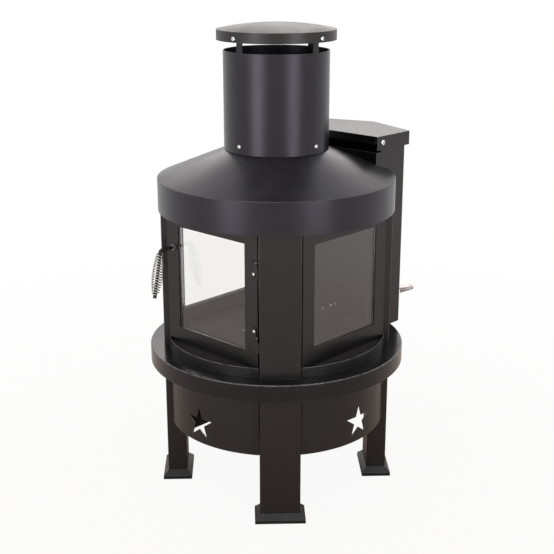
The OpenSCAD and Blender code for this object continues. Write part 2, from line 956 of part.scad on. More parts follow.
function grip_point(i, n) = let (u = i / n, a = 360 * grip_turns * u, r = grip_radius(u))
    [r * cos(a), r * sin(a), -wire_r - u * (grip_len - 2 * wire_r)];

function grip_path() = let (n = grip_turns * grip_rings, end = 2 * wire_r * [0, 1, 0])
    concat([grip_point(0, n) - end], [for (i = [0:n]) grip_point(i, n)], [grip_point(n, n) + end]);

function unit(v) = v / norm(v);

function grip_ring(path, i) = let (
        ahead = unit(path[min(i + 1, len(path) - 1)] - path[max(i - 1, 0)]),
        side = unit(cross(ahead, [0, 0, 1])),
        up = cross(side, ahead))
    [for (k = [0:grip_sides - 1])
        let (a = 360 * k / grip_sides)
        path[i] + wire_r * (cos(a) * side + sin(a) * up)];

function grip_faces(n) = concat(
    [for (k = [1:grip_sides - 2]) [0, k + 1, k]],
    [for (i = [0:n - 2], k = [0:grip_sides - 1])
        let (a = i * grip_sides, b = (k + 1) % grip_sides)
        [a + k, a + b, a + grip_sides + b]],
    [for (i = [0:n - 2], k = [0:grip_sides - 1])
        let (a = i * grip_sides, b = (k + 1) % grip_sides)
        [a + k, a + grip_sides + b, a + grip_sides + k]],
    [for (k = [1:grip_sides - 2])
        let (a = (n - 1) * grip_sides)
        [a, a + k, a + k + 1]]);

// Least gap between two stretches of wire that lie half a turn or more apart
function grip_gap(path) = min([for (i = [0:len(path) - 1], j = [i + grip_rings / 2:len(path) - 1])
    norm(path[i] - path[j])]) - 2 * wire_r;

module latch_grip() {
    path = grip_path();
    echo(least_gap_of_grip = grip_gap(path));
    bend_back = bend_r * tan((90 - grip_lean) / 2);
    color("#b9b7b2")
        at_grip()
            translate([0, 0, -grip_start - bend_back])
                polyhedron(
                    points = [for (i = [0:len(path) - 1]) each grip_ring(path, i)],
                    faces = grip_faces(len(path)));
}

module latch_cam() {
    color("#8b8986")
        translate([-latch_x, cam_y + cam_t, latch_z])
            rotate([90, 0, 0])
                difference() {
                    union() {
                        cylinder(r = cam_hub_r, h = cam_t, $fn = fine);
                        translate([-cam_w / 2, cam_w / 2 - cam_len, 0])
                            cube([cam_w, cam_len - cam_w / 2, cam_t]);
                        translate([0, cam_w / 2 - cam_len, 0])
                            cylinder(r = cam_w / 2, h = cam_t, $fn = fine);
                    }
                    translate([0, 0, -over])
                        cylinder(r = tenon_r + seat, h = cam_t + 2 * over, $fn = fine);
                }
}

module latch_nut() {
    color("#c9c9c7")
        translate([-latch_x, cam_y + cam_t + seat + nut_t, latch_z])
            rotate([90, 0, 0])
                difference() {
                    cylinder(r = nut_r, h = nut_t, $fn = 6);
                    translate([0, 0, -over])
                        cylinder(r = tenon_r + seat, h = nut_t + 2 * over, $fn = fine);
                }
}

// Tie plate: closes the posts and the firebox, and carries the hood

tie_sheet = 2;
tie_open = 215;
tie_open_r = 236;

module tie_plate() {
    color("#222121")
        difference() {
            translate([0, 0, tie_z])
                cylinder(r = hood_r - hood_sheet - seat, h = tie_sheet, $fn = smooth);
            translate([0, 0, tie_z - over])
                intersection() {
                    translate([-tie_open, -tie_open, 0])
                        cube([2 * tie_open, 2 * tie_open, tie_sheet + 2 * over]);
                    cylinder(r = tie_open_r, h = tie_sheet + 2 * over, $fn = smooth);
                }
            block([-hop_w / 2 - notch_gap, box_out, tie_z - over],
                  [hop_w / 2 + notch_gap, hood_r, tie_z + tie_sheet + over]);
        }
}

// Hood: a band and a cone welded on its upper edge, both notched for the hopper

notch_gap = 1.5;

module hopper_notch() {
    block([-hop_w / 2 - notch_gap, hop_in - notch_gap, hood_z0 - over],
          [hop_w / 2 + notch_gap, hood_r + over, cone_z + over]);
}

module hood_band() {
    color("#383636")
        difference() {
            ring(hood_r, hood_r - hood_sheet, hood_z0, hood_z1);
            hopper_notch();
        }
}

module hood_cone() {
    foot_z = hood_z1 + seat;
    color("#383636")
        difference() {
            rotate_extrude($fn = smooth)
                polygon([[hood_r - cone_sheet_z / cone_slope, foot_z], [hood_r, foot_z],
                         [cone_top_r, cone_z], [cone_top_r, cone_z - cone_sheet_z]]);
            hopper_notch();
        }
}

// Flue collar inside the chimney's foot

collar_z0 = 878;
collar_z1 = 925;
collar_t = 2;
chimney_screw_z = 905;
mid_head_r = 5;
mid_head_h = 3;

module cross_holes(r, z, h) {
    for (angle = [0:90:270])
        rotate([0, 0, angle])
            translate([0, 0, z])
                rotate([0, 90, 0])
                    cylinder(r = r, h = h, $fn = fine);
}

module flue_collar() {
    color("#2b2a2a")
        difference() {
            ring(cone_top_r - seat, cone_top_r - seat - collar_t, collar_z0, collar_z1);
            cross_holes(small_shank_r + run, chimney_screw_z, flue_r);
        }
}

// Chimney

strap_foot = 40;

module chimney() {
    color("#3d3b3b")
        difference() {
            ring(flue_r, flue_r - flue_sheet, cone_z + seat, flue_z1);
            cross_holes(small_shank_r + run, chimney_screw_z, flue_r + over);
        }
}

module chimney_screws() {
    color("#c9c9c7")
        for (angle = [0:90:270])
            rotate([0, 0, angle])
                translate([flue_r + seat, 0, chimney_screw_z])
                    rotate([0, 90, 0])
                        dome_screw(mid_head_r, mid_head_h, small_shank_r, flue_sheet + collar_t + 2 * seat);
}

// Straps: four strips that stand inside the chimney and are hooked over into the cap's skirt

strap_t = 2;
hook_gap = 2;
skirt_screw_z = cap_z0 + 9;

module cap_straps() {
    foot_r = flue_r - flue_sheet - seat;
    foot_z = flue_z1 - strap_foot;
    head_r = cap_r - cap_sheet - seat;
    head_z = cap_top - cap_sheet - seat;
    hook_z = cap_z0 + hook_gap;
    color("#333131")
        difference() {
            intersection() {
                rotate_extrude($fn = smooth)
                    polygon([
                        [foot_r - strap_t, foot_z], [foot_r, foot_z],
                        [foot_r, head_z - strap_t], [head_r - strap_t, head_z - strap_t],
                        [head_r - strap_t, hook_z], [head_r, hook_z],
                        [head_r, head_z], [foot_r - strap_t, head_z]]);
                union() {
                    block([-cap_r, -strap_w / 2, 0], [cap_r, strap_w / 2, cap_top]);
                    block([-strap_w / 2, -cap_r, 0], [strap_w / 2, cap_r, cap_top]);
                }
            }
            cross_holes(small_shank_r + run, skirt_screw_z, cap_r);
        }
}

// Cap: a shallow dome with a skirt

cap_sheet = 2;
cap_top = cap_z0 + cap_skirt;
dome_steps = 10;

function dome(r, rise, z) = let (ball = (r * r + rise * rise) / (2 * rise))
    [for (i = [0:dome_steps])
        let (q = r * (1 - i / dome_steps))
        [q, z + rise - ball + sqrt(ball * ball - q * q)]];

module cap() {
    color("#3d3b3b")
        difference() {
            rotate_extrude($fn = smooth)
                polygon(concat(
                    [[cap_r - cap_sheet, cap_z0], [cap_r, cap_z0]],
                    dome(cap_r, cap_rise, cap_top),
                    [for (i = [dome_steps:-1:0])
                        dome(cap_r - cap_sheet, cap_rise, cap_top - cap_sheet)[i]]));
            cross_holes(small_shank_r + run, skirt_screw_z, cap_r + over);
        }
}

module cap_screws() {
    color("#c9c9c7")
        for (angle = [0:90:270])
            rotate([0, 0, angle])
                translate([cap_r + seat, 0, skirt_screw_z])
                    rotate([0, 90, 0])
                        dome_screw(mid_head_r, mid_head_h, small_shank_r, seat + cap_sheet + seat + strap_t);
}

// Hopper: a five-sided bin behind the firebox, its throat wall stepped in over the hood

hop_half = hop_w / 2;
hop_face = box_out + seat;
hop_plate_z = 406;
hop_skirt_z = shelf_z + seat;
lid_sheet = 2;
hop_top = lid_z - lid_sheet - seat;
hop_wall_z1 = 866;
hop_bend_z0 = 755;
hop_bend_z1 = 795;
lid_clear = 1;
lid_half = hop_half + lid_clear + lid_sheet;
pivot_y = hop_in + pivot_back;
pivot_z = lid_z - pivot_drop;
pivot_r = 3;
pivot_head_r = 7;
pivot_head_h = 4;
rear_slope = (hop_apex - hop_side) / hop_half;
rear_sheet = hop_sheet * sqrt(1 + rear_slope * rear_slope);
gate_slot_x0 = hop_half - 22.5;
gate_slot_x1 = hop_half - 2.5;
gate_slot_clear = 2;
lip_gap = 1.5;
hop_hole_z1 = cover_z + chute_sheet;
ear_r = pivot_drop - lid_sheet - seat;

// Outline of the bin from above, drawn in by a wall
function hop_outline(y0, in) = let (half = hop_half - in, apex = hop_apex - rear_sheet * in / hop_sheet)
    [[-half, y0], [half, y0],
     [half, apex - rear_slope * half], [0, apex], [-half, apex - rear_slope * half]];

// The bin's side view, drawn in by a wall
module hop_side_view(in, z0) {
    polygon([[hop_face + in, z0], [hop_face + in, hop_bend_z0], [hop_in + in, hop_bend_z1],
             [hop_in + in, lid_z + over], [hop_apex + over, lid_z + over], [hop_apex + over, z0]]);
}

module hop_solid(in, z0) {
    intersection() {
        linear_extrude(hop_top + (in > 0 ? over : 0))
            polygon(hop_outline(hop_in, in));
        rotate([90, 0, 90])
            translate([0, 0, -hop_half])
                linear_extrude(2 * hop_half)
                    hop_side_view(in, z0);
    }
}

module hopper_body() {
    color("#353333")
        difference() {
            hop_solid(0, hop_skirt_z);
            hop_solid(hop_sheet, hop_plate_z + hop_sheet);
            intersection() {
                hop_solid(hop_sheet, 0);
                translate([0, 0, hop_skirt_z - over])
                    cylinder(r = shelf_d, h = hop_plate_z - hop_skirt_z + over, $fn = smooth);
            }
            translate([0, 0, hop_skirt_z - over])
                cylinder(r = drum_r + lip_gap, h = lip_z + lip_gap - hop_skirt_z + over, $fn = smooth);
            block([-hop_half - over, hop_in - over, hop_wall_z1],
                  [hop_half + over, hop_in + hop_sheet + seat, lid_z]);
            difference() {
                block([-hop_half - over, hop_in - over, hop_wall_z1 - hop_sheet],
                      [hop_half + over, pivot_y, lid_z]);
                translate([-hop_half - 2 * over, pivot_y, pivot_z])
                    rotate([0, 90, 0])
                        cylinder(r = ear_r, h = 2 * hop_half + 4 * over, $fn = smooth);
            }
            block([-pot_w / 2 - chute_gap, hop_in, chute_hole_z0],
                  [pot_w / 2 + chute_gap, hop_face + over, hop_hole_z1]);
            block([gate_slot_x0, hop_side - over, gate_z - gate_slot_clear],
                  [gate_slot_x1, hop_apex, gate_z + gate_sheet + gate_slot_clear]);
            translate([-hop_half - over, pivot_y, pivot_z])
                rotate([0, 90, 0])
                    cylinder(r = pivot_r + run, h = 2 * hop_half + 2 * over, $fn = fine);
        }
}

// Funnel inside the bin, narrowing to the throat above the gate

throat_half = 55;
throat_y1 = 284;
funnel_z1 = 600;
funnel_z0 = gate_z + gate_sheet + seat;
funnel_rim = 2;
throat_h = 2;

module funnel_shape(in) {
    grow = in > 0 ? over : 0;
    hull() {
        translate([0, 0, funnel_z1 - funnel_rim])
            linear_extrude(funnel_rim + grow)
                polygon(hop_outline(hop_face + hop_sheet + seat + in, hop_sheet + seat + in));
        translate([0, 0, funnel_z0 - grow])
            linear_extrude(throat_h + grow)
                translate([in - throat_half - hop_sheet, throat_y0 + in])
                    square([2 * (throat_half + hop_sheet - in), throat_y1 - throat_y0 - 2 * in]);
    }
}

module hopper_funnel() {
    color("#6d6966")
        difference() {
            funnel_shape(0);
            funnel_shape(hop_sheet);
        }
}

// Lid: a folded tray over the bin, hung on two pivot screws

lid_side_y = hop_side + lid_over;
lid_apex_y = hop_apex + lid_over;
lid_front_lip = 20;
lid_slope = (lid_apex_y - lid_side_y) / lid_half;
lid_rear_share = sqrt(1 + lid_slope * lid_slope);

// Outline of the lid from above, drawn in by a wall
function lid_outline(in, front) = let (half = lid_half - in, apex = lid_apex_y - lid_rear_share * in)
    [[-half, front], [half, front],
     [half, apex - lid_slope * half], [0, apex], [-half, apex - lid_slope * half]];

module hopper_lid() {
    lip_half = hop_half - hop_sheet - lid_clear;
    color("#4a4746")
        difference() {
            union() {
                difference() {
                    translate([0, 0, lid_z - lid_skirt])
                        linear_extrude(lid_skirt)
                            polygon(lid_outline(0, hop_in));
                    translate([0, 0, lid_z - lid_skirt - over])
                        linear_extrude(lid_skirt + over - lid_sheet)
                            polygon(lid_outline(lid_sheet, hop_in - over));
                }
                block([-lip_half, hop_in, lid_z - lid_front_lip], [lip_half, hop_in + lid_sheet, lid_z]);
            }
            translate([-lid_half - over, pivot_y, pivot_z])
                rotate([0, 90, 0])
                    cylinder(r = pivot_r + run, h = 2 * lid_half + 2 * over, $fn = fine);
        }
}

module lid_pivots() {
    color("#c9c9c7")
        for (side = [-1, 1])
            translate([side * (lid_half + seat), pivot_y, pivot_z])
                rotate([0, side * 90, 0])
                    dome_screw(pivot_head_r, pivot_head_h, pivot_r,
                               lid_sheet + lid_clear + hop_sheet + 2 * seat);
}

// Feed gate: a blade under the throat, an arm, and a pull tab outside the bin

gate_half = 62;
gate_y1 = 286;
arm_y0 = 262;
strap_x0 = hop_half - 21;
strap_x1 = hop_half - 4;
tab_bend_y = 336;
tab_edge_y = 333;
tab_far = [hop_half - 3, 384];
tab_near = [hop_half + 11, 372];
tab_lip_deep = 14;
tab_lip_shallow = 8;

module feed_gate() {
    run_x = tab_near[0] - strap_x1;
    run_y = tab_near[1] - tab_edge_y;
    lip_len = sqrt(run_x * run_x + run_y * run_y);
    color("#b4aca3") {
        translate([0, 0, gate_z])
            linear_extrude(gate_sheet)
                polygon([
                    [-gate_half, throat_y0 + seat], [gate_half, throat_y0 + seat],
                    [gate_half, arm_y0], [strap_x1, arm_y0], [strap_x1, tab_edge_y],
                    tab_near, tab_far,
                    [strap_x0, tab_bend_y], [strap_x0, gate_y1], [-gate_half, gate_y1]]);
        translate([strap_x1, tab_edge_y, gate_z + gate_sheet])
            rotate([90, 0, atan2(run_y, run_x)])
                linear_extrude(gate_sheet)
                    polygon([[0, 0], [0, -tab_lip_deep], [lip_len, -tab_lip_shallow], [lip_len, 0]]);
    }
}

post(-45);  // post_front_right
post(45);  // post_back_right
post(135);  // post_back_left
post(-135);  // post_front_left
boot(-45);  // boot_front_right
boot(45);  // boot_back_right
boot(135);  // boot_back_left
boot(-135);  // boot_front_left
ring_shelf();
star_panel(-90);  // drum_front
star_panel(0);  // drum_right
drum_back();
star_panel(180);  // drum_left
floor_plate();
ash_housing();
ash_drawer();
fire_pot();
pot_grate();
feed_chute();
chute_cover();
chute_screws();
side_panel(0);  // panel_right
side_panel(180);  // panel_left
panel_back();
side_glass(0);  // glass_right
side_glass(180);  // glass_left
side_retainer(0);  // retainer_right
side_retainer(180);  // retainer_left
retainer_screws();
door_jamb();
door_frame();
door_glass();
door_retainer();
door_gasket();
door_screws();
hinge_leaves();
hinge_lugs();
hinge_pins();
hinge_screws();
latch_bushing();
latch_rod();
latch_grip();
latch_cam();
latch_nut();
tie_plate();
hood_band();
hood_cone();
flue_collar();
chimney();
chimney_screws();
cap_straps();
cap();
cap_screws();
hopper_body();
hopper_funnel();
hopper_lid();
lid_pivots();
feed_gate();
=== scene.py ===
# %% [markdown]
# A pellet chiminea in black powder-coated steel: how it is given its looks. The construction is finished
# and packed: every sheet, screw and joint is already a mesh at its real size. Here each piece gets its
# finish, and the few pieces whose real form is finer than a plain solid are modelled again.

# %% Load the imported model
import math
from collections import namedtuple
import bpy
import bmesh
from mathutils import Matrix, Vector


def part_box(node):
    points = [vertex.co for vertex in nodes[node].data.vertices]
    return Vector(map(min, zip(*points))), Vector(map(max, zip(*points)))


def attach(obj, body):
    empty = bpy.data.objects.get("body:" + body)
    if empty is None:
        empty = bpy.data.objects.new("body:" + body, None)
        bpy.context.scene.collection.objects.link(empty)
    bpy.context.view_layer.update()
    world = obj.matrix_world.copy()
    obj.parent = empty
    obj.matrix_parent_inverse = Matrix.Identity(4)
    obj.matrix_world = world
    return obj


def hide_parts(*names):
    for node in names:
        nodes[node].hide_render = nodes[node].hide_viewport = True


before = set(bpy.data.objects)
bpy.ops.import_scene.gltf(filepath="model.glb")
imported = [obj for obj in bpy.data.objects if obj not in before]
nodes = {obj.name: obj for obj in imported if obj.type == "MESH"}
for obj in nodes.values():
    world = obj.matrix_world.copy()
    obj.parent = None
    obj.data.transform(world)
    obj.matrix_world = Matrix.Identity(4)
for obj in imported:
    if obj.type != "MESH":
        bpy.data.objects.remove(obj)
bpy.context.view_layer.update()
print("nodes loaded:", len(nodes))

# %% [markdown]
# Small helpers come first. A shader is a tree of nodes, and a tree is easier to read when each node is
# made, set and wired in one line. `add` makes a node and fills its sockets, `wire` joins two sockets, and
# `feed` takes either another node's socket or a plain value.

# %% Node helpers
# The Mix node has several sockets of one name, so those for colours are picked by number.
MIX_MASK = 0
MIX_FIRST = 6
MIX_SECOND = 7
MIX_RESULT = 2


def add(tree, kind, settings=None, inputs=None):
    """Adds a shader node, sets its properties and its unlinked inputs, and returns it."""
    node = tree.nodes.new("ShaderNode" + kind)
    for name, value in (settings or {}).items():
        setattr(node, name, value)
    for name, value in (inputs or {}).items():
        node.inputs[name].default_value = value
    return node


def wire(tree, start, end):
    """Joins an output socket to an input socket."""
    tree.links.new(start, end)


def feed(tree, value, socket):
    """Fills an input: a socket is wired to it, and a plain value is set on it."""
    if isinstance(value, bpy.types.NodeSocket):
        wire(tree, value, socket)
    else:
        socket.default_value = value


def maths(tree, operation, first, second):
    """A Math node: each operand is a socket or a number."""
    node = add(tree, "Math", {"operation": operation})
    feed(tree, first, node.inputs[0])
    feed(tree, second, node.inputs[1])
    return node.outputs["Value"]


def with_shares(tree, base, shares):
    """A number plus a share of each mask."""
    total = base
    for mask, share in shares:
        total = maths(tree, "ADD", maths(tree, "MULTIPLY", mask, share), total)
    return total


def stretch(tree, value, low, high, out_low=0.0, out_high=1.0):
    """Maps a range of a value to another range, and clips it there."""
    limits = {"From Min": low, "From Max": high, "To Min": out_low, "To Max": out_high}
    node = add(tree, "MapRange", inputs=limits)
    wire(tree, value, node.inputs["Value"])
    return node.outputs["Result"]


def noise(tree, place, scale, detail, roughness, distortion=0.0):
    """A noise texture on the given coordinates. Scale counts blotches in a metre."""
    look = {"Detail": detail, "Roughness": roughness, "Distortion": distortion}
    node = add(tree, "TexNoise", inputs=look)
    wire(tree, place, node.inputs["Vector"])
    feed(tree, scale, node.inputs["Scale"])
    return node.outputs["Fac"]


def blend_colour(tree, mask, first, second):
    """Mixes two colours by a mask: each is a socket or a tuple of red, green and blue."""
    node = add(tree, "Mix", {"data_type": "RGBA"})
    wire(tree, mask, node.inputs[MIX_MASK])
    for colour, slot in ((first, MIX_FIRST), (second, MIX_SECOND)):
        feed(tree, colour + (1.0,) if isinstance(colour, tuple) else colour, node.inputs[slot])
    return node.outputs[MIX_RESULT]


def mix_shaders(tree, mask, first, second, surface):
    """Mixes two shader nodes by a mask, and wires the result to a surface socket."""
    node = add(tree, "MixShader")
    for slot, socket in enumerate((mask, first.outputs[0], second.outputs[0])):
        wire(tree, socket, node.inputs[slot])
    wire(tree, node.outputs[0], surface)


print("node helpers ready")

# %% [markdown]
# A group is a small tree with named inputs and outputs, which can be placed in many materials. A material
# here is one Principled shader. Whatever is the same all over a surface is set on the shader's own sockets,
# and only what changes over the surface is wired. `relief` gives the surface its small bumps. Its Bevel
# node rounds the sharp edges of the sheet for the light, which is quicker than real rounding and leaves the
# shape as it is.

# %% Groups and materials
BEVEL_SAMPLES = 4


def new_group(name, inputs, output):
    """Makes a shader node group with named float inputs and one float output."""
    group = bpy.data.node_groups.new(name, "ShaderNodeTree")
    for label, value, low, high in inputs:
        socket = group.interface.new_socket(label, in_out="INPUT", socket_type="NodeSocketFloat")
        socket.default_value = value
        socket.min_value = low
        socket.max_value = high
    group.interface.new_socket(output, in_out="OUTPUT", socket_type="NodeSocketFloat")
    start = group.nodes.new("NodeGroupInput")
    end = group.nodes.new("NodeGroupOutput")
    return group, start, end


def use_group(tree, group, **values):
    """Places a group in a material, sets its inputs, and returns its output."""
    node = tree.nodes.new("ShaderNodeGroup")
    node.node_tree = group
    for name, value in values.items():
        node.inputs[name.replace("_", " ")].default_value = value
    return node.outputs[0]


def new_material(name, **values):
    """A material with one Principled shader, whose constant sockets are set here."""
    material = bpy.data.materials.new(name)
    material.use_nodes = True
    tree = material.node_tree
    shader = tree.nodes["Principled BSDF"]
    for label, value in values.items():
        shader.inputs[label.replace("_", " ")].default_value = value
    return material, tree, shader


def relief(tree, shader, height, strength, distance, edge_radius=0.0):
    """Bumps from a height, over edges that are rounded by a radius."""
    bump = add(tree, "Bump", inputs={"Strength": strength, "Distance": distance})
    wire(tree, height, bump.inputs["Height"])
    if edge_radius:
        edges = add(tree, "Bevel", {"samples": BEVEL_SAMPLES}, {"Radius": edge_radius})
        wire(tree, edges.outputs["Normal"], bump.inputs["Normal"])
    wire(tree, bump.outputs["Normal"], shader.inputs["Normal"])


print("group and material helpers ready")

# %% [markdown]
# Powder coat is paint that was dusted on dry and then baked. It flows into a faint orange peel, one or two
# millimetres across. One noise gives the dimples. A second, much wider one lets the sheet wave a little, as
# thin sheet does, so that long reflections are not ruler straight.

# %% Orange peel


def make_orange_peel():
    """Height of a baked coating: fine dimples over a slow wave."""
    inputs = [("Dimples", 700.0, 1.0, 5000.0), ("Wave", 60.0, 1.0, 500.0), ("Wave share", 0.5, 0.0, 2.0)]
    group, start, end = new_group("orange_peel", inputs, "Height")
    place = add(group, "TexCoord").outputs["Object"]
    dimples = noise(group, place, start.outputs["Dimples"], detail=2.0, roughness=0.5)
    wave = noise(group, place, start.outputs["Wave"], detail=1.0, roughness=0.4)
    slow = maths(group, "MULTIPLY", wave, start.outputs["Wave share"])
    wire(group, maths(group, "ADD", dimples, slow), end.inputs["Height"])
    return group


orange_peel = make_orange_peel()
print("effect:", orange_peel.name)

# %% [markdown]
# Outdoors, dust settles on what faces up. The mask takes the upward share of the normal, and keeps a little
# dust everywhere. Fine noise breaks it into grains, and broad noise gathers it in clouds, since evenly
# spread dust looks like paint.

# %% Settled dust
FACING_UP = (0.2, 0.95)
GRAINS_PER_M = 900.0
GRAIN_RANGE = (0.35, 0.75)
CLOUDS_PER_M = 9.0
CLOUD_RANGE = (0.3, 0.75)


def make_settled_dust():
    """Mask of the dust that lies on faces that look up, broken by noise."""
    inputs = [("Amount", 0.5, 0.0, 1.0), ("Everywhere", 0.1, 0.0, 1.0)]
    group, start, end = new_group("settled_dust", inputs, "Mask")
    coords = add(group, "TexCoord")
    place = coords.outputs["Object"]
    normal = add(group, "SeparateXYZ")
    wire(group, coords.outputs["Normal"], normal.inputs["Vector"])
    up = stretch(group, normal.outputs["Z"], *FACING_UP)
    reach = maths(group, "MAXIMUM", up, start.outputs["Everywhere"])
    grains = stretch(group, noise(group, place, GRAINS_PER_M, detail=4.0, roughness=0.7), *GRAIN_RANGE)
    clouds = stretch(group, noise(group, place, CLOUDS_PER_M, detail=4.0, roughness=0.6), *CLOUD_RANGE)
    spots = maths(group, "MULTIPLY", maths(group, "MULTIPLY", grains, clouds), reach)
    wire(group, maths(group, "MULTIPLY", spots, start.outputs["Amount"]), end.inputs["Mask"])
    return group


settled_dust = make_settled_dust()
print("effect:", settled_dust.name)

# %% [markdown]
# Hands and rain leave smears, which show as a change of gloss more than of colour. They run downwards, so
# the noise is stretched along Z, and it is distorted a little so that it has no grid.

# %% Smears of handling
SMEAR_STRETCH = (1.0, 1.0, 0.35)
SMEAR_RANGE = (0.38, 0.66)


def make_handled():
    """Mask of smears that hands and rain leave: tall soft blotches."""
    group, start, end = new_group("handled", [("Size", 14.0, 1.0, 200.0)], "Mask")
    tall = add(group, "Mapping", inputs={"Scale": SMEAR_STRETCH})
    wire(group, add(group, "TexCoord").outputs["Object"], tall.inputs["Vector"])
    blotches = noise(group, tall.outputs["Vector"], start.outputs["Size"],
                     detail=4.0, roughness=0.6, distortion=0.6)
    wire(group, stretch(group, blotches, *SMEAR_RANGE), end.inputs["Mask"])
    return group


handled = make_handled()
print("effect:", handled.name)

# %% [markdown]
# A coating is thin on a sharp edge, and gets rubbed there. The rim could be drawn by hand in each material.
# Here a Bevel node finds it: near an edge its rounded normal leaves the true one, and their dot product
# falls below 1. The rim is painted light: partly the rubbed coat, and partly a painted highlight of the
# light from above. So it fades with the height of the normal, and edges that look down stay dark. Noise
# breaks the line.

# %% Rubbed edges and painted highlight
RIM_RANGE = (0.998, 0.92)
RIM_LOOKS = (-0.1, 0.5)
RIM_SHARES = (0.1, 1.0)
BREAK_RANGE = (0.32, 0.56)


def make_edge_wear_and_highlight():
    """Mask of a thin rim along sharp edges, where a rounded normal leaves the true one: rubbed coat, and a
    painted highlight that is strongest on edges that look up.
    """
    inputs = [("Radius", 0.0012, 0.0, 0.02), ("Breaks", 120.0, 1.0, 2000.0)]
    group, start, end = new_group("edge_wear_and_highlight", inputs, "Mask")
    surface = add(group, "NewGeometry")
    rounded = add(group, "Bevel", {"samples": BEVEL_SAMPLES})
    wire(group, start.outputs["Radius"], rounded.inputs["Radius"])
    same = add(group, "VectorMath", {"operation": "DOT_PRODUCT"})
    wire(group, surface.outputs["Normal"], same.inputs[0])
    wire(group, rounded.outputs["Normal"], same.inputs[1])
    look = add(group, "SeparateXYZ")
    wire(group, rounded.outputs["Normal"], look.inputs["Vector"])
    # Painted highlight: the rim is strongest on edges that look up, where the light from above falls.
    upward = stretch(group, look.outputs["Z"], *RIM_LOOKS, *RIM_SHARES)
    rim = maths(group, "MULTIPLY", stretch(group, same.outputs["Value"], *RIM_RANGE), upward)
    place = add(group, "TexCoord").outputs["Object"]
    breaks = noise(group, place, start.outputs["Breaks"], detail=4.0, roughness=0.65)
    breaks = stretch(group, breaks, *BREAK_RANGE)
    wire(group, maths(group, "MULTIPLY", rim, breaks), end.inputs["Mask"])
    return group


edge_wear_and_highlight = make_edge_wear_and_highlight()
print("effects:", [g.name for g in bpy.data.node_groups])

# %% [markdown]
# The camera stands where the photograph was taken: 2.7 m from the stove's axis, a little higher than its
# cap, looking down 17 degrees. Its place was worked out from the circles and uprights in the picture, so it
# is written here as plain numbers. The focal length is in pixels of the 554-pixel frame, which gives the
# lens.

# %% Camera
SENSOR_MM = 36.0
FRAME_PIXELS = 554.0
FOCAL_PIXELS = 1070.0
CAMERA_PLACE = Vector((1.8163, -1.9379, 1.3758))
CAMERA_LOOK = Vector((-0.6524, 0.6968, -0.2980))

camera_data = bpy.data.cameras.new("photo_camera")
camera_data.sensor_width = SENSOR_MM
camera_data.lens = SENSOR_MM * FOCAL_PIXELS / FRAME_PIXELS
camera = bpy.data.objects.new("photo_camera", camera_data)
camera.location = CAMERA_PLACE
camera.rotation_mode = "QUATERNION"
camera.rotation_quaternion = CAMERA_LOOK.to_track_quat("-Z", "Y")
bpy.context.scene.collection.objects.link(camera)
bpy.context.scene.camera = camera
bpy.context.scene.view_settings.view_transform = "Standard"
print("lens", round(camera_data.lens, 2), "mm, looking down",
      round(math.degrees(math.asin(-CAMERA_LOOK.z)), 1), "degrees")

# %% [markdown]
# The studio is a white room. The stove is black and half glossy, so its greys are nearly all reflections:
# what stands round it matters more than how strong the light is. Light Path tells which kind of ray asks.
# The camera, the glass and the glossy metal see plain white, and the soft light on the surfaces comes from
# a pale room.

# %% World
ROOM = 0.95
ROOM_TONE = (1.0, 0.985, 0.975, 1.0)
WHITE = (1.0, 1.0, 1.0, 1.0)


def make_world():
    """White behind the object and in its reflections, and a plain pale room for its light."""
    world = bpy.data.worlds.new("white_room")
    world.use_nodes = True
    tree = world.node_tree
    tree.nodes.clear()
    path = add(tree, "LightPath")
    seen = maths(tree, "MAXIMUM", path.outputs["Is Camera Ray"], path.outputs["Is Transmission Ray"])
    seen = maths(tree, "MAXIMUM", seen, path.outputs["Is Glossy Ray"])
    room = add(tree, "Background", inputs={"Color": ROOM_TONE, "Strength": ROOM})
    paper = add(tree, "Background", inputs={"Color": WHITE, "Strength": 1.0})
    mix_shaders(tree, seen, room, paper, add(tree, "OutputWorld").inputs["Surface"])
    bpy.context.scene.world = world


make_world()
print("room radiance", ROOM)

# %% [markdown]
# The feet and the drum of the real stove mirror a floor that is warm and mid grey close by, in the stove's
# shade, and paler far off. An evenly white floor would make them too bright. So the floor's colour has a
# painted shade that fades with the distance from the stove, and an Emission shader lifts it almost to white
# for the camera, with the faint shadow and a little of the painted shade left in it. Glossy rays meet that
# white too, but only a few metres off.

# %% Floor
FLOOR_RADIUS = 12.0
FLOOR_SIDES = 96
# Painted shade: a warm mid grey near the stove stands for its shade on the floor.
NEAR_SHADE_TONE = (0.47, 0.375, 0.32)
FAR_TONE = (0.95, 0.95, 0.96)
SHADE_REACH = (0.6, 3.6)
LIFT_REACH = (0.5, 2.6)
LIFT_SHARES = (0.93, 1.0)
MIRROR_REACH = (1.6, 3.6)


def floor_material():
    """Pale matt floor with a painted shade: warm grey near the stove, turning to near white with the
    distance from it.
    """
    material, tree, shader = new_material("pale_floor", Roughness=0.9, Specular_IOR_Level=0.1)
    far = add(tree, "VectorMath", {"operation": "LENGTH"})
    wire(tree, add(tree, "TexCoord").outputs["Object"], far.inputs[0])
    distance = far.outputs["Value"]
    # Painted shade: the floor's colour darkens towards the stove and fades to its own pale tone farther
    # out.
    tone = blend_colour(tree, stretch(tree, distance, *SHADE_REACH), NEAR_SHADE_TONE, FAR_TONE)
    wire(tree, tone, shader.inputs["Base Color"])
    path = add(tree, "LightPath")
    seen = maths(tree, "MAXIMUM", path.outputs["Is Camera Ray"], path.outputs["Is Transmission Ray"])
    lifted = maths(tree, "MULTIPLY", seen, stretch(tree, distance, *LIFT_REACH, *LIFT_SHARES))
    mirrored = stretch(tree, distance, *MIRROR_REACH)
    mirrored = maths(tree, "MULTIPLY", path.outputs["Is Glossy Ray"], mirrored)
    white = add(tree, "Emission", inputs={"Color": WHITE, "Strength": 1.0})
    surface = tree.nodes["Material Output"].inputs["Surface"]
    mix_shaders(tree, maths(tree, "MAXIMUM", lifted, mirrored), shader, white, surface)
    return material


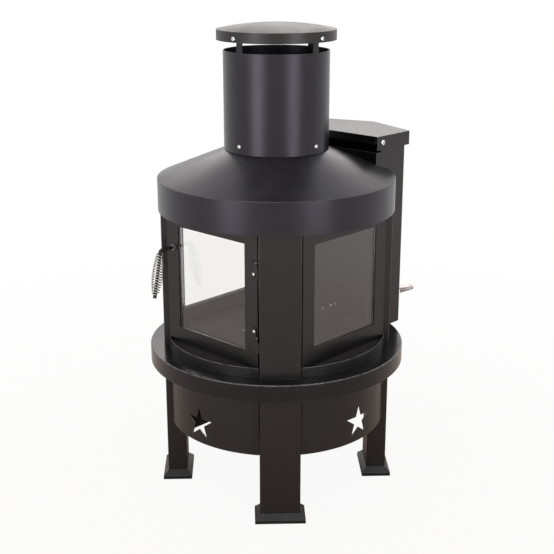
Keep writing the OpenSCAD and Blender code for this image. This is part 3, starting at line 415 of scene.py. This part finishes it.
def make_floor():
    """A round floor, far wider than the camera sees."""
    shape = bmesh.new()
    bmesh.ops.create_circle(shape, cap_ends=True, segments=FLOOR_SIDES, radius=FLOOR_RADIUS)
    mesh = bpy.data.meshes.new("studio_floor")
    shape.to_mesh(mesh)
    shape.free()
    mesh.materials.append(floor_material())
    floor = bpy.data.objects.new("studio_floor", mesh)
    bpy.context.scene.collection.objects.link(floor)


make_floor()
print("floor radius", FLOOR_RADIUS, "m")

# %% [markdown]
# Four softboxes give the long pale bands down the chimney and the bright tops of the cap and the hopper
# lid. An upright cylinder mirrors what stands to the left and right of the one who looks, so two tall boxes
# stand there. The sloped and flat tops mirror what is high behind the stove, so one wide box hangs there. A
# last box hangs nearly straight above, and together with the painted highlight on the rim it draws the thin
# bright line on each edge that is turned up.

# %% Softboxes
LAMP_AIM = Vector((0.0, 0.0, 0.75))
COOL = (0.96, 0.95, 1.0)
ROSY = (1.0, 0.92, 0.91)
WARM = (1.0, 0.98, 0.97)
SOFTBOXES = {
    # bearing, distance, height, width, tall, radiance, colour
    "left_box": (3.0, 2.7, 1.12, 1.05, 1.8, 5.2, COOL),
    "right_box": (79.0, 2.7, 1.12, 1.05, 1.8, 4.15, COOL),
    "rear_box": (223.0, 3.2, 2.32, 2.8, 1.3, 2.05, ROSY),
    "top_box": (0.0, 0.4, 3.6, 1.0, 1.0, 5.0, WARM),
}


def softbox(name, bearing, distance, height, width, tall, radiance, colour):
    """An area lamp at a bearing (0 is in front of the door, 90 at the right side), aimed at the stove."""
    data = bpy.data.lights.new(name, "AREA")
    data.shape = "RECTANGLE"
    data.size = width
    data.size_y = tall
    data.color = colour
    data.energy = radiance * math.pi * width * tall
    box = bpy.data.objects.new(name, data)
    turn = math.radians(bearing)
    box.location = (math.sin(turn) * distance, -math.cos(turn) * distance, height)
    box.rotation_mode = "QUATERNION"
    box.rotation_quaternion = (LAMP_AIM - box.location).to_track_quat("-Z", "Y")
    box.visible_camera = False
    bpy.context.scene.collection.objects.link(box)


for name, settings in SOFTBOXES.items():
    softbox(name, *settings)

# %% [markdown]
# Powder coat is almost black pigment under a satin skin. Its grey could be painted as a grey colour, but
# then it would stay grey in a dark room. Here it comes from the white room mirrored in the skin, and the
# pigment is much darker than the grey that is seen. Over the pigment lie soot, dust and a light rim along
# the edges that is partly rubbed coat and partly painted highlight, and the same masks make the skin
# rougher where it is smeared, dusty or sooty. The drum's sheets need one thing more. In the grooves beside
# the posts and behind the stars one looks past the coated face at the unlit inside of the drum, so whatever
# lies deeper than that face is painted black as shade, and Metallic turns its reflection off.

# %% Powder coat
DUST_TONE = (0.16, 0.148, 0.135)
SOOT_TONE = (0.0035, 0.0032, 0.003)
# A light tone for the rim: rubbed coat and painted highlight.
RUBBED_AND_HIGHLIGHT_TONE = (0.50, 0.49, 0.49)
# Painted shade: a black that stands for the unlit inside of the drum.
PAINTED_SHADE_BLACK = (0.0012, 0.0011, 0.0011)
WARM_SHEEN = (1.0, 0.96, 0.95)
SMEARS_PER_M = 9.0
SMEAR_LIGHT = 1.35
SMEAR_HAZE = 0.06
DUST_EVERYWHERE = 0.12
DUST_COVER = 0.5
DUST_HAZE = 0.35
SOOT_PER_M = 6.0
SOOT_RANGE = (0.35, 0.65)
SOOT_HAZE = 0.3
RIM_RADIUS = 0.0013
RIM_BREAKS = 90.0
PEEL_STRENGTH = 0.10
PEEL_DEPTH = 0.0006
SHEET_EDGE = 0.0009
# The coat turns to painted black shade between these distances from the core's edge, outside and inside it.
CORE_FADE = (0.0006, -0.0002)


def core_mask(tree, place, radius):
    """Mask of what lies nearer than a radius to the stove's upright axis."""
    flat = add(tree, "VectorMath", {"operation": "MULTIPLY"})
    wire(tree, place, flat.inputs[0])
    flat.inputs[1].default_value = (1.0, 1.0, 0.0)
    out = add(tree, "VectorMath", {"operation": "LENGTH"})
    wire(tree, flat.outputs["Vector"], out.inputs[0])
    return stretch(tree, out.outputs["Value"], *(radius + fade for fade in CORE_FADE))


def powder_coat(name, pigment, shine, dust, wear_and_highlight, soot=0.0, cast=WARM_SHEEN, core=0.0):
    """Satin black coating. Shine is its roughness, cast the colour of its sheen.

    Dust, the edge rim and soot are shares from 0 to 1, and the rim is rubbed coat and painted highlight.
    Nearer to the stove's axis than core it is painted black as shade, with its reflection turned off."""
    material, tree, shader = new_material(name, Metallic=0.0, IOR=1.44, Specular_Tint=cast + (1.0,))
    place = add(tree, "TexCoord").outputs["Object"]
    smears = use_group(tree, handled, Size=SMEARS_PER_M)
    fallen = use_group(tree, settled_dust, Amount=dust, Everywhere=DUST_EVERYWHERE)
    rubbed_and_highlight = use_group(tree, edge_wear_and_highlight, Radius=RIM_RADIUS, Breaks=RIM_BREAKS)
    sooty = noise(tree, place, SOOT_PER_M, detail=5.0, roughness=0.65)
    sooty = stretch(tree, sooty, *SOOT_RANGE, 0.0, soot)
    tone = blend_colour(tree, smears, pigment, tuple(c * SMEAR_LIGHT for c in pigment))
    tone = blend_colour(tree, sooty, tone, SOOT_TONE)
    tone = blend_colour(tree, maths(tree, "MULTIPLY", fallen, DUST_COVER), tone, DUST_TONE)
    # The rim is partly rubbed coat and partly painted highlight.
    tone = blend_colour(tree, maths(tree, "MULTIPLY", rubbed_and_highlight, wear_and_highlight), tone, RUBBED_AND_HIGHLIGHT_TONE)
    # Painted shade: deeper than the drum's coated face the coat is painted black, and Metallic turns its
    # reflection off, because the inside of the drum is unlit.
    if core:
        inside = core_mask(tree, place, core)
        tone = blend_colour(tree, inside, tone, PAINTED_SHADE_BLACK)
        wire(tree, inside, shader.inputs["Metallic"])
    wire(tree, tone, shader.inputs["Base Color"])
    rough = with_shares(tree, shine, [(smears, SMEAR_HAZE), (fallen, DUST_HAZE), (sooty, SOOT_HAZE)])
    wire(tree, rough, shader.inputs["Roughness"])
    peel = use_group(tree, orange_peel, Dimples=650.0, Wave=38.0, Wave_share=1.6)
    relief(tree, shader, peel, PEEL_STRENGTH, PEEL_DEPTH, SHEET_EDGE)
    return material


print("powder coat ready")

# %% [markdown]
# Each group of pieces has its own mix. The ring shelf is the glossiest, and the posts and the drum are
# satin. The chimney, the hood and the boots have a cooler sheen. The cap is dulled by smoke, the boots and
# the hopper lid are dusty, and the inside of the firebox is matt with soot.

# %% Mixes of the powder coat
DRUM_SKIN = 0.0018
DRUM_R = -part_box("drum_front")[0][1]
# The share for the edge rim sets rubbed coat and painted highlight together.
MIXES = {
    "post_coat": dict(pigment=(0.0040, 0.0036, 0.0036), shine=0.30, dust=0.30, wear_and_highlight=0.22),
    "boot_coat": dict(pigment=(0.0036, 0.0035, 0.0038), shine=0.24, dust=0.70, wear_and_highlight=0.25,
                      cast=(0.97, 0.96, 1.0)),
    # The drum's core radius marks where its painted black shade begins.
    "drum_coat": dict(pigment=(0.0042, 0.0038, 0.0038), shine=0.31, dust=0.15, wear_and_highlight=0.75,
                      cast=(0.89, 0.87, 0.88), core=DRUM_R - DRUM_SKIN),
    "ring_coat": dict(pigment=(0.0028, 0.0027, 0.0030), shine=0.17, dust=0.10, wear_and_highlight=0.95,
                      cast=(0.74, 0.72, 0.75)),
    "hood_coat": dict(pigment=(0.0040, 0.0036, 0.0042), shine=0.285, dust=0.30, wear_and_highlight=0.20,
                      cast=(0.91, 0.86, 1.0)),
    "bin_coat": dict(pigment=(0.0030, 0.0027, 0.0027), shine=0.22, dust=0.30, wear_and_highlight=0.22,
                     cast=(1.0, 0.95, 0.94)),
    "top_coat": dict(pigment=(0.0060, 0.0054, 0.0052), shine=0.32, dust=0.50, wear_and_highlight=0.60, soot=0.28,
                     cast=(1.0, 0.95, 0.94)),
    "lid_coat": dict(pigment=(0.0020, 0.0018, 0.0019), shine=0.22, dust=0.60, wear_and_highlight=0.75,
                     cast=(1.0, 0.93, 0.92)),
    "firebox_coat": dict(pigment=(0.0040, 0.0037, 0.0035), shine=0.42, dust=0.20, wear_and_highlight=0.18, soot=0.35),
    "soot_coat": dict(pigment=(0.0050, 0.0045, 0.0042), shine=0.68, dust=0.30, wear_and_highlight=0.10, soot=0.90),
    "inner_coat": dict(pigment=(0.0120, 0.0105, 0.0098), shine=0.60, dust=0.60, wear_and_highlight=0.28, soot=0.55),
}

finishes = {name: powder_coat(name, **mix) for name, mix in MIXES.items()}
print("coats:", sorted(finishes), "drum radius", round(DRUM_R, 4), "m")

# %% [markdown]
# Some pieces are bare metal: zinc-plated screws, a nickel-plated spring, rolled window retainers, a
# stainless feed gate, turned hinge pins, and a fire pot that the heat has scaled. Metal shows how it was
# made, so a noise that is stretched along one direction draws fine streaks of a second tone, and stains
# make it darker and rougher in spots.

# %% Bare metals
STREAK_RANGE = (0.35, 0.65)
STREAK_HAZE = 0.08
STAINS_PER_M = 28.0
STAIN_RANGE = (0.5, 0.75)
STAIN_DARK = 0.35
STAIN_HAZE = 0.3
TOUCH_PER_M = 30.0
TOUCH_HAZE = 0.08
STREAK_DEPTH = 0.0003
METAL_EDGE = 0.0004
METALS = {
    "zinc_plate": dict(light=(0.95, 0.95, 0.94), dark=(0.80, 0.80, 0.79), shine=0.26, spots=0.15),
    "nickel_wire": dict(light=(0.56, 0.55, 0.54), dark=(0.34, 0.335, 0.33), shine=0.09, spots=0.15,
                        bumps=0.05),
    "rolled_retainer": dict(light=(0.34, 0.325, 0.31), dark=(0.22, 0.21, 0.20), shine=0.36, spots=0.5,
                            streaks=(1.0, 1.0, 0.08)),
    "stainless_tab": dict(light=(0.62, 0.59, 0.58), dark=(0.12, 0.11, 0.11), shine=0.20, spots=0.2,
                          streaks=(0.1, 0.1, 1.0)),
    "turned_steel": dict(light=(0.42, 0.41, 0.40), dark=(0.28, 0.27, 0.26), shine=0.32, spots=0.4,
                         streaks=(1.0, 0.2, 1.0)),
    "scaled_steel": dict(light=(0.20, 0.175, 0.16), dark=(0.10, 0.085, 0.08), shine=0.55, spots=0.9,
                         bumps=0.5, scale=140.0),
}


def bare_metal(name, light, dark, shine, spots, streaks=(1.0, 1.0, 1.0), bumps=0.12, scale=260.0):
    """Metal with streaks of a second tone, some stains, and a rougher skin where it is stained."""
    material, tree, shader = new_material(name, Metallic=1.0)
    place = add(tree, "TexCoord").outputs["Object"]
    along = add(tree, "Mapping", inputs={"Scale": streaks})
    wire(tree, place, along.inputs["Vector"])
    lines = noise(tree, along.outputs["Vector"], scale, detail=5.0, roughness=0.6)
    lines = stretch(tree, lines, *STREAK_RANGE)
    stains = noise(tree, place, STAINS_PER_M, detail=5.0, roughness=0.65)
    stains = stretch(tree, stains, *STAIN_RANGE, 0.0, spots)
    touch = use_group(tree, handled, Size=TOUCH_PER_M)
    tone = blend_colour(tree, lines, dark, light)
    tone = blend_colour(tree, stains, tone, tuple(c * STAIN_DARK for c in dark))
    wire(tree, tone, shader.inputs["Base Color"])
    rough = with_shares(tree, shine, [(lines, STREAK_HAZE), (touch, TOUCH_HAZE), (stains, STAIN_HAZE)])
    wire(tree, rough, shader.inputs["Roughness"])
    relief(tree, shader, lines, bumps, STREAK_DEPTH, METAL_EDGE)
    return material


for name, mix in METALS.items():
    finishes[name] = bare_metal(name, **mix)
print("metals:", sorted(METALS))

# %% [markdown]
# The panes are 5 mm heat-proof glass with a faint brown haze of smoke. Glass bends light, and a lamp can't
# be aimed through it, so behind true glass the firebox would stay dark. A Transparent shader lets shadow
# and diffuse rays pass straight through, and the camera still sees true glass.

# %% Window glass
GLASS_SHEEN = (1.0, 0.89, 0.87, 1.0)
CLEAR_TONE = (0.992, 0.985, 0.975)
SMOKED_TONE = (0.975, 0.966, 0.952)
PASSED_LIGHT = (0.92, 0.91, 0.89, 1.0)
SMOKE_PER_M = 7.0
SMOKE_RANGE = (0.3, 0.75)
FINGERS_PER_M = 16.0
FINGER_HAZE = 0.003
FLOAT_PER_M = 18.0
FLOAT_STRENGTH = 0.006
FLOAT_DEPTH = 0.0005


def make_glass():
    """Clear glass with smears: light and diffuse rays pass straight through it."""
    material, tree, shader = new_material("smoked_pane", Metallic=0.0, Transmission_Weight=1.0, IOR=1.47,
                                          Specular_Tint=GLASS_SHEEN)
    place = add(tree, "TexCoord").outputs["Object"]
    cloud = stretch(tree, noise(tree, place, SMOKE_PER_M, detail=5.0, roughness=0.6), *SMOKE_RANGE)
    wire(tree, blend_colour(tree, cloud, CLEAR_TONE, SMOKED_TONE), shader.inputs["Base Color"])
    smears = use_group(tree, handled, Size=FINGERS_PER_M)
    wire(tree, maths(tree, "MULTIPLY", smears, FINGER_HAZE), shader.inputs["Roughness"])
    waves = noise(tree, place, FLOAT_PER_M, detail=2.0, roughness=0.4)
    relief(tree, shader, waves, FLOAT_STRENGTH, FLOAT_DEPTH)
    path = add(tree, "LightPath")
    passing = maths(tree, "MAXIMUM", path.outputs["Is Shadow Ray"], path.outputs["Is Diffuse Ray"])
    clear = add(tree, "BsdfTransparent", inputs={"Color": PASSED_LIGHT})
    mix_shaders(tree, passing, shader, clear, tree.nodes["Material Output"].inputs["Surface"])
    return material


finishes["smoked_pane"] = make_glass()
print("glass:", finishes["smoked_pane"].name)

# %% [markdown]
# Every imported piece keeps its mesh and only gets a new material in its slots. The table says which pieces
# have which finish. What isn't in it is modelled again further down.

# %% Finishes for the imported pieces
WEARERS = {
    "post_coat": ["post_front_right", "post_back_right", "post_back_left", "post_front_left",
                  "door_frame", "panel_right", "panel_left", "hinge_leaves", "hinge_lugs"],
    "boot_coat": ["boot_front_right", "boot_back_right", "boot_back_left", "boot_front_left"],
    "drum_coat": ["drum_front", "drum_right", "drum_back", "drum_left"],
    "ring_coat": ["ring_shelf"],
    "bin_coat": ["hopper_body"],
    "hood_coat": ["hood_band", "hood_cone", "chimney", "cap_straps"],
    "top_coat": ["cap"],
    "lid_coat": ["hopper_lid"],
    "firebox_coat": ["door_jamb", "panel_back", "flue_collar", "latch_rod"],
    "soot_coat": ["floor_plate", "tie_plate"],
    "inner_coat": ["ash_housing", "ash_drawer", "feed_chute", "chute_cover", "hopper_funnel"],
    "zinc_plate": ["latch_nut"],
    "rolled_retainer": ["retainer_right", "retainer_left", "door_retainer"],
    "stainless_tab": ["feed_gate"],
    "turned_steel": ["latch_cam", "latch_bushing", "hinge_pins"],
    "scaled_steel": ["fire_pot", "pot_grate"],
    "smoked_pane": ["glass_right", "glass_left", "door_glass"],
}

for name, wearers in WEARERS.items():
    for node in wearers:
        for slot in nodes[node].material_slots:
            slot.material = finishes[name]
left_over = sorted(set(nodes) - {node for wearers in WEARERS.values() for node in wearers})
print("finished nodes:", len(nodes) - len(left_over), "still to be modelled:", left_over)

# %% [markdown]
# Some pieces are finer than the construction needs them. Those are modelled again here and stand in for the
# packed ones. Each is a mesh or a curve with its place in its own points, tied to the body that carries it.

# %% Piece helpers
SMOOTH_BELOW = math.radians(35.0)


def settle(piece, material, body, stands_for):
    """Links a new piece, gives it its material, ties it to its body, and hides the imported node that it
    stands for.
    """
    bpy.context.scene.collection.objects.link(piece)
    piece.data.materials.append(material)
    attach(piece, body)
    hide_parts(stands_for)


def mesh_piece(name, shape):
    """Turns a finished shape into an object: normals outward, smooth but for its sharper edges."""
    bmesh.ops.recalc_face_normals(shape, faces=shape.faces)
    mesh = bpy.data.meshes.new(name)
    shape.to_mesh(mesh)
    shape.free()
    mesh.shade_smooth()
    mesh.set_sharp_from_angle(angle=SMOOTH_BELOW)
    return bpy.data.objects.new(name, mesh)


def tube_piece(name, runs, radius, closed, roundness):
    """A curve object of round wire: each run is a list of points."""
    curve = bpy.data.curves.new(name, "CURVE")
    curve.dimensions = "3D"
    curve.bevel_depth = radius
    curve.bevel_resolution = roundness
    curve.use_fill_caps = True
    for points in runs:
        spline = curve.splines.new("POLY")
        spline.points.add(len(points) - 1)
        for point, place in zip(spline.points, points):
            point.co = (*place, 1.0)
        spline.use_cyclic_u = closed
    return bpy.data.objects.new(name, curve)


print("piece helpers ready")

# %% [markdown]
# The screws are zinc-plated pan heads with a cross recess. On the stove each head is pressed cold from
# wire, and the cross is punched into it. A head could be cut with a boolean, which leaves long thin faces.
# Here the head and its shank are one profile, spun round. The cross starts as a small grid that loses its
# corners, is bridged to the ring round it, and is pushed down with a taper.

# %% One screw
Head = namedtuple("Head", "radius height shank")
SMALL = Head(0.0040, 0.0024, 0.0015)
MIDDLE = Head(0.0050, 0.0030, 0.0015)
PIVOT = Head(0.0070, 0.0040, 0.0030)
SHORT = 0.003
MEDIUM = 0.004
LONG = 0.005
SPIN_STEPS = 24
DOME_STEPS = 6
BRIM_SHARE = 0.3
MOUTH_SHARE = 0.62
CROSS_SHARE = 0.42
CROSS_DEPTH_SHARE = 0.55
CROSS_TAPER = 0.8
MERGE_SHARE = 1e-4
LEVEL_SHARE = 1e-3


def screw_outline(head, length):
    """Half of the screw's section, from the end of the shank to the mouth of the recess."""
    brim = BRIM_SHARE * head.height
    last = math.acos(MOUTH_SHARE)
    outline = [(0.0, -length), (head.shank, -length), (head.shank, 0.0), (head.radius, 0.0),
               (head.radius, brim)]
    for step in range(1, DOME_STEPS + 1):
        turn = last * step / DOME_STEPS
        rise = math.sin(turn) / math.sin(last)
        outline.append((head.radius * math.cos(turn), brim + (head.height - brim) * rise))
    return outline


def punch_cross(shape, head):
    """Closes the head's open mouth with a cross recess."""
    top = max(v.co.z for v in shape.verts)
    level = head.radius * LEVEL_SHARE
    ring = [e for e in shape.edges if e.is_boundary and all(abs(v.co.z - top) < level for v in e.verts)]
    half = CROSS_SHARE * head.radius
    grid = bmesh.ops.create_grid(shape, x_segments=3, y_segments=3, size=half,
                                 matrix=Matrix.Translation((0, 0, top)))
    faces = list({f for v in grid["verts"] for f in v.link_faces})
    middles = [(f, f.calc_center_median()) for f in faces]
    corners = [f for f, middle in middles if min(abs(middle.x), abs(middle.y)) > half / 3]
    bmesh.ops.delete(shape, geom=corners, context="FACES")
    cross = [f for f in faces if f.is_valid]
    rim = [e for e in {e for f in cross for e in f.edges} if e.is_boundary]
    bmesh.ops.bridge_loops(shape, edges=ring + rim)
    pushed = bmesh.ops.extrude_face_region(shape, geom=cross)
    sole = [v for v in pushed["geom"] if isinstance(v, bmesh.types.BMVert)]
    bmesh.ops.delete(shape, geom=[f for f in cross if f.is_valid], context="FACES_ONLY")
    bmesh.ops.translate(shape, verts=sole, vec=(0, 0, -CROSS_DEPTH_SHARE * head.height))
    bmesh.ops.scale(shape, verts=sole, vec=(CROSS_TAPER, CROSS_TAPER, 1.0))


def screw_mesh(head, length):
    """A screw with its head outwards along +Z, seated on Z = 0."""
    shape = bmesh.new()
    corners = [shape.verts.new((x, 0.0, z)) for x, z in screw_outline(head, length)]
    edges = [shape.edges.new(pair) for pair in zip(corners, corners[1:])]
    bmesh.ops.spin(shape, geom=corners + edges, cent=(0, 0, 0), axis=(0, 0, 1), angle=math.tau,
                   steps=SPIN_STEPS, use_merge=True)
    bmesh.ops.remove_doubles(shape, verts=shape.verts, dist=head.radius * MERGE_SHARE)
    punch_cross(shape, head)
    mesh = bpy.data.meshes.new("one_screw")
    shape.to_mesh(mesh)
    shape.free()
    return mesh


print("one screw:", len(screw_mesh(SMALL, SHORT).polygons), "faces")

# %% [markdown]
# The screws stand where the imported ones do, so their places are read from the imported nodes' boxes: the
# outermost heads touch the box, and the others stand evenly between them. A list of places could be typed
# in instead, but it would go wrong when a window or the hopper changes its size. Only the chute cover's
# three rows are typed in, because they are not evenly spaced.

# %% Seats of the screws
CHUTE_SCREW_Y = (0.115, 0.147, 0.164)


def spread(low, high, count):
    """Evenly spaced centres of small heads between two ends of a group."""
    first = low + SMALL.radius
    last = high - SMALL.radius
    return [first + (last - first) * k / (count - 1) for k in range(count)]


def round_about(node, head):
    """Four seats round the Z axis."""
    low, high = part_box(node)
    reach = high[0] - head.height
    height = (low[2] + high[2]) / 2
    return [((reach * x, reach * y, height), (x, y, 0)) for x, y in ((1, 0), (0, 1), (-1, 0), (0, -1))]


def on_two_sides(node, head, ys=None):
    """Seats on the +X and -X sides at the group's middle height, head outward."""
    low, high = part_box(node)
    reach = high[0] - head.height
    height = (low[2] + high[2]) / 2
    ys = ys or [(low[1] + high[1]) / 2]
    return [((side * reach, y, height), (side, 0, 0)) for side in (1, -1) for y in ys]


def window_seats():
    """Seats of the side windows' screws: heads inward, on both long sides of each retainer."""
    low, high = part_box("retainer_screws")
    door_low, door_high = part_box("door_screws")
    reach = high[0] - (door_high[1] - door_low[1]) + SMALL.height
    ys = spread(low[1], high[1], 2)
    zs = spread(low[2], high[2], 3)
    return [((side * reach, y, z), (-side, 0, 0)) for side in (1, -1) for y in ys for z in zs]


def door_seats():
    """Seats of the door window's screws: heads inward."""
    low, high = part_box("door_screws")
    xs = spread(low[0], high[0], 2)
    zs = spread(low[2], high[2], 3)
    return [((x, high[1] - SMALL.height, z), (0, 1, 0)) for x in xs for z in zs]


def hinge_seats():
    """Seats of the two screws in the hinge leaves: heads to the front."""
    low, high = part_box("hinge_screws")
    middle = (low[0] + high[0]) / 2
    return [((middle, low[1] + SMALL.height, z), (0, -1, 0)) for z in spread(low[2], high[2], 2)]


print("seats in the door:", len(door_seats()), "in the side windows:", len(window_seats()))

# %% [markdown]
# Screws of one kind on one body share a piece, as they share a node in the construction. Each head is
# turned a little further than the last, as hand-driven screws are: crosses that all stand alike look
# stamped.

# %% All screws
FIRST_TURN = 20.0
TURN_STEP = 37.0
SCREWS = {
    # body, head, length under the head, seats
    "cap_screws": ("stove", MIDDLE, LONG, round_about("cap_screws", MIDDLE)),
    "chimney_screws": ("stove", MIDDLE, LONG, round_about("chimney_screws", MIDDLE)),
    "retainer_screws": ("stove", SMALL, SHORT, window_seats()),
    "door_screws": ("door", SMALL, SHORT, door_seats()),
    "hinge_screws": ("door", SMALL, MEDIUM, hinge_seats()),
    "lid_pivots": ("stove", PIVOT, SHORT, on_two_sides("lid_pivots", PIVOT)),
    "chute_screws": ("stove", SMALL, SHORT, on_two_sides("chute_screws", SMALL, CHUTE_SCREW_Y)),
}


def pointing(place, outward, turn):
    """The matrix that takes a screw from Z = 0 to a seat, head outward, turned about its own axis."""
    facing = Vector(outward).to_track_quat("Z", "Y").to_matrix().to_4x4()
    return Matrix.Translation(place) @ facing @ Matrix.Rotation(math.radians(turn), 4, "Z")


def screws(node, body, head, length, seats):
    """One piece that holds every screw of a group."""
    unit = screw_mesh(head, length)
    shape = bmesh.new()
    for count, (place, outward) in enumerate(seats):
        before = len(shape.verts)
        shape.from_mesh(unit)
        shape.verts.ensure_lookup_table()
        matrix = pointing(place, outward, FIRST_TURN + TURN_STEP * count)
        bmesh.ops.transform(shape, matrix=matrix, verts=shape.verts[before:])
    settle(mesh_piece(node + "_crossed", shape), finishes["zinc_plate"], body, node)


for node, settings in SCREWS.items():
    screws(node, *settings)
print("screw groups placed:", len(SCREWS))

# %% [markdown]
# The grip is one nickel-plated spring wire, wound open so that it stays cool to the hand. It is fullest in
# the middle, and its bottom turn seats on the rod. The Screw modifier could wind it, but its radius can't
# change on the way. So the route of the wire is a formula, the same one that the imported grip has, and a
# round curve follows it. Each turn has 28 points, so it reads as round wire.

# %% Spring grip
ELBOW = Vector((-0.130, -0.280, 0.651))
LEAN = math.radians(11.5)
BEND_R = 0.006
BEND_GAP = 0.0005
GRIP_START = BEND_GAP + BEND_R * math.tan((math.pi / 2 - LEAN) / 2)
GRIP_LEN = 0.107
GRIP_R = 0.015
TOP_R = 0.008
BOTTOM_R = 0.0063
WIRE_R = 0.0014
WIRE_ROUNDNESS = 3
TURNS = 16
TURN_POINTS = 28
SWELL_LEAN = 1.1
SWELL_POWER = 0.75


def grip_radius(u):
    """Radius of the winding's centreline, from the top (0) to the bottom (1)."""
    swell = max(0.0, math.sin(math.pi * u ** SWELL_LEAN)) ** SWELL_POWER
    return TOP_R + (BOTTOM_R - TOP_R) * u + (GRIP_R - WIRE_R - (TOP_R + BOTTOM_R) / 2) * swell


def grip_points():
    """Points of the wire in the stove's own frame."""
    hang = Matrix.Translation(ELBOW) @ Matrix.Rotation(-LEAN, 4, "X")
    points = []
    for step in range(TURNS * TURN_POINTS + 1):
        u = step / (TURNS * TURN_POINTS)
        turn = math.tau * TURNS * u
        r = grip_radius(u)
        down = -GRIP_START - WIRE_R - u * (GRIP_LEN - 2 * WIRE_R)
        points.append(hang @ Vector((r * math.cos(turn), r * math.sin(turn), down)))
    return points


grip = tube_piece("spring_grip", [grip_points()], WIRE_R, closed=False, roundness=WIRE_ROUNDNESS)
settle(grip, finishes["nickel_wire"], "latch", "latch_grip")
print("spring grip points:", len(grip.data.splines[0].points))

# %% [markdown]
# The door seals on a rope of glass fibre, laid in a rectangle behind the frame. It could be a plain tube
# with a braided bump, but its outline would stay smooth. A rope is strands wound round each other, so three
# closed strands follow the rectangle, each a third of a turn on, and are flattened as the door presses
# them.

# %% Route and strands of the rope
STRANDS = 3
STRAND_ROUNDNESS = 2
STRAND_STEP = 0.0021
STRAND_SHARE = 0.29
ROPE_WIDTH = 0.010
ROPE_CORNER = 0.012
ROPE_TWIST = 0.016


def rope_route(distance, half_x, half_z):
    """A point on a rounded rectangle in the XZ plane, and the outward direction there."""
    sides = [2 * (half_x - ROPE_CORNER), 2 * (half_z - ROPE_CORNER)] * 2
    arc = ROPE_CORNER * math.pi / 2
    for number, side in enumerate(sides):
        turn = Matrix.Rotation(math.radians(90.0 * number), 3, "Y")
        reach = half_z if number % 2 == 0 else half_x
        if distance <= side:
            return turn @ Vector((distance - side / 2, 0, reach)), turn @ Vector((0, 0, 1))
        distance -= side
        if distance <= arc:
            bend = math.pi / 2 * distance / arc
            outward = turn @ Vector((math.sin(bend), 0, math.cos(bend)))
            return turn @ Vector((side / 2, 0, reach - ROPE_CORNER)) + ROPE_CORNER * outward, outward
        distance -= arc


def rope_strands():
    """Closed strands that wind about the rope's route, flattened front to back, and their radius."""
    low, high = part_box("door_gasket")
    middle = (Vector(low) + Vector(high)) / 2
    thick = high[1] - low[1]
    radius = thick * STRAND_SHARE
    half_x = (high[0] - low[0] - ROPE_WIDTH) / 2
    half_z = (high[2] - low[2] - ROPE_WIDTH) / 2
    total = 4 * (half_x + half_z - 2 * ROPE_CORNER) + math.tau * ROPE_CORNER
    twists = round(total / ROPE_TWIST)
    steps = round(total / STRAND_STEP)
    runs = []
    for strand in range(STRANDS):
        run = []
        for step in range(steps):
            centre, outward = rope_route(total * step / steps, half_x, half_z)
            turn = math.tau * (twists * step / steps + strand / STRANDS)
            across = (ROPE_WIDTH / 2 - radius) * math.cos(turn)
            deep = (thick / 2 - radius) * math.sin(turn)
            run.append(middle + centre + across * outward + Vector((0, deep, 0)))
        runs.append(run)
    return runs, radius


strand_runs, strand_radius = rope_strands()
print("strands:", len(strand_runs), "radius", round(strand_radius * 1000, 2), "mm")

# %% [markdown]
# The fibre is off-white yarn that smoke has browned. A noise that is turned and stretched lays fine threads
# aslant over the strands, with a painted shade between them where they sink, and drives the bump as well.

# %% Glass fibre
YARN_TURN = (0.6, 0.7, 0.2)
YARN_STRETCH = (1.0, 1.0, 0.25)
YARN_PER_M = 1900.0
YARN_RANGE = (0.35, 0.65)
YARN_GROOVE_SHADE = (0.22, 0.205, 0.185)
YARN_LIGHT = (0.48, 0.455, 0.42)
YARN_STRENGTH = 0.6
YARN_DEPTH = 0.0006
YARN_ROUGHNESS = (0.95, 0.8)
BROWNED_TONE = (0.10, 0.082, 0.066)
BROWNED_PER_M = 16.0
BROWNED_RANGE = (0.35, 0.7)
BROWNED_COVER = 0.7


def rope_fibre():
    """Braided glass fibre: off-white yarn, browned by smoke, with fine diagonal threads and a painted shade
    between them.
    """
    material, tree, shader = new_material("glass_fibre", Metallic=0.0, IOR=1.45)
    place = add(tree, "TexCoord").outputs["Object"]
    yarn = add(tree, "Mapping", inputs={"Rotation": YARN_TURN, "Scale": YARN_STRETCH})
    wire(tree, place, yarn.inputs["Vector"])
    threads = noise(tree, yarn.outputs["Vector"], YARN_PER_M, detail=3.0, roughness=0.6)
    threads = stretch(tree, threads, *YARN_RANGE)
    smoke = noise(tree, place, BROWNED_PER_M, detail=4.0, roughness=0.6)
    smoke = stretch(tree, smoke, *BROWNED_RANGE)
    # Painted shade: the yarn is darker where the threads sink and lighter where they stand up.
    tone = blend_colour(tree, threads, YARN_GROOVE_SHADE, YARN_LIGHT)
    tone = blend_colour(tree, maths(tree, "MULTIPLY", smoke, BROWNED_COVER), tone, BROWNED_TONE)
    wire(tree, tone, shader.inputs["Base Color"])
    wire(tree, stretch(tree, threads, 0.0, 1.0, *YARN_ROUGHNESS), shader.inputs["Roughness"])
    relief(tree, shader, threads, YARN_STRENGTH, YARN_DEPTH)
    return material


rope = tube_piece("rope_gasket", strand_runs, strand_radius, closed=True, roundness=STRAND_ROUNDNESS)
settle(rope, rope_fibre(), "door", "door_gasket")
print("rope strands:", len(rope.data.splines), "points in each:", len(rope.data.splines[0].points))
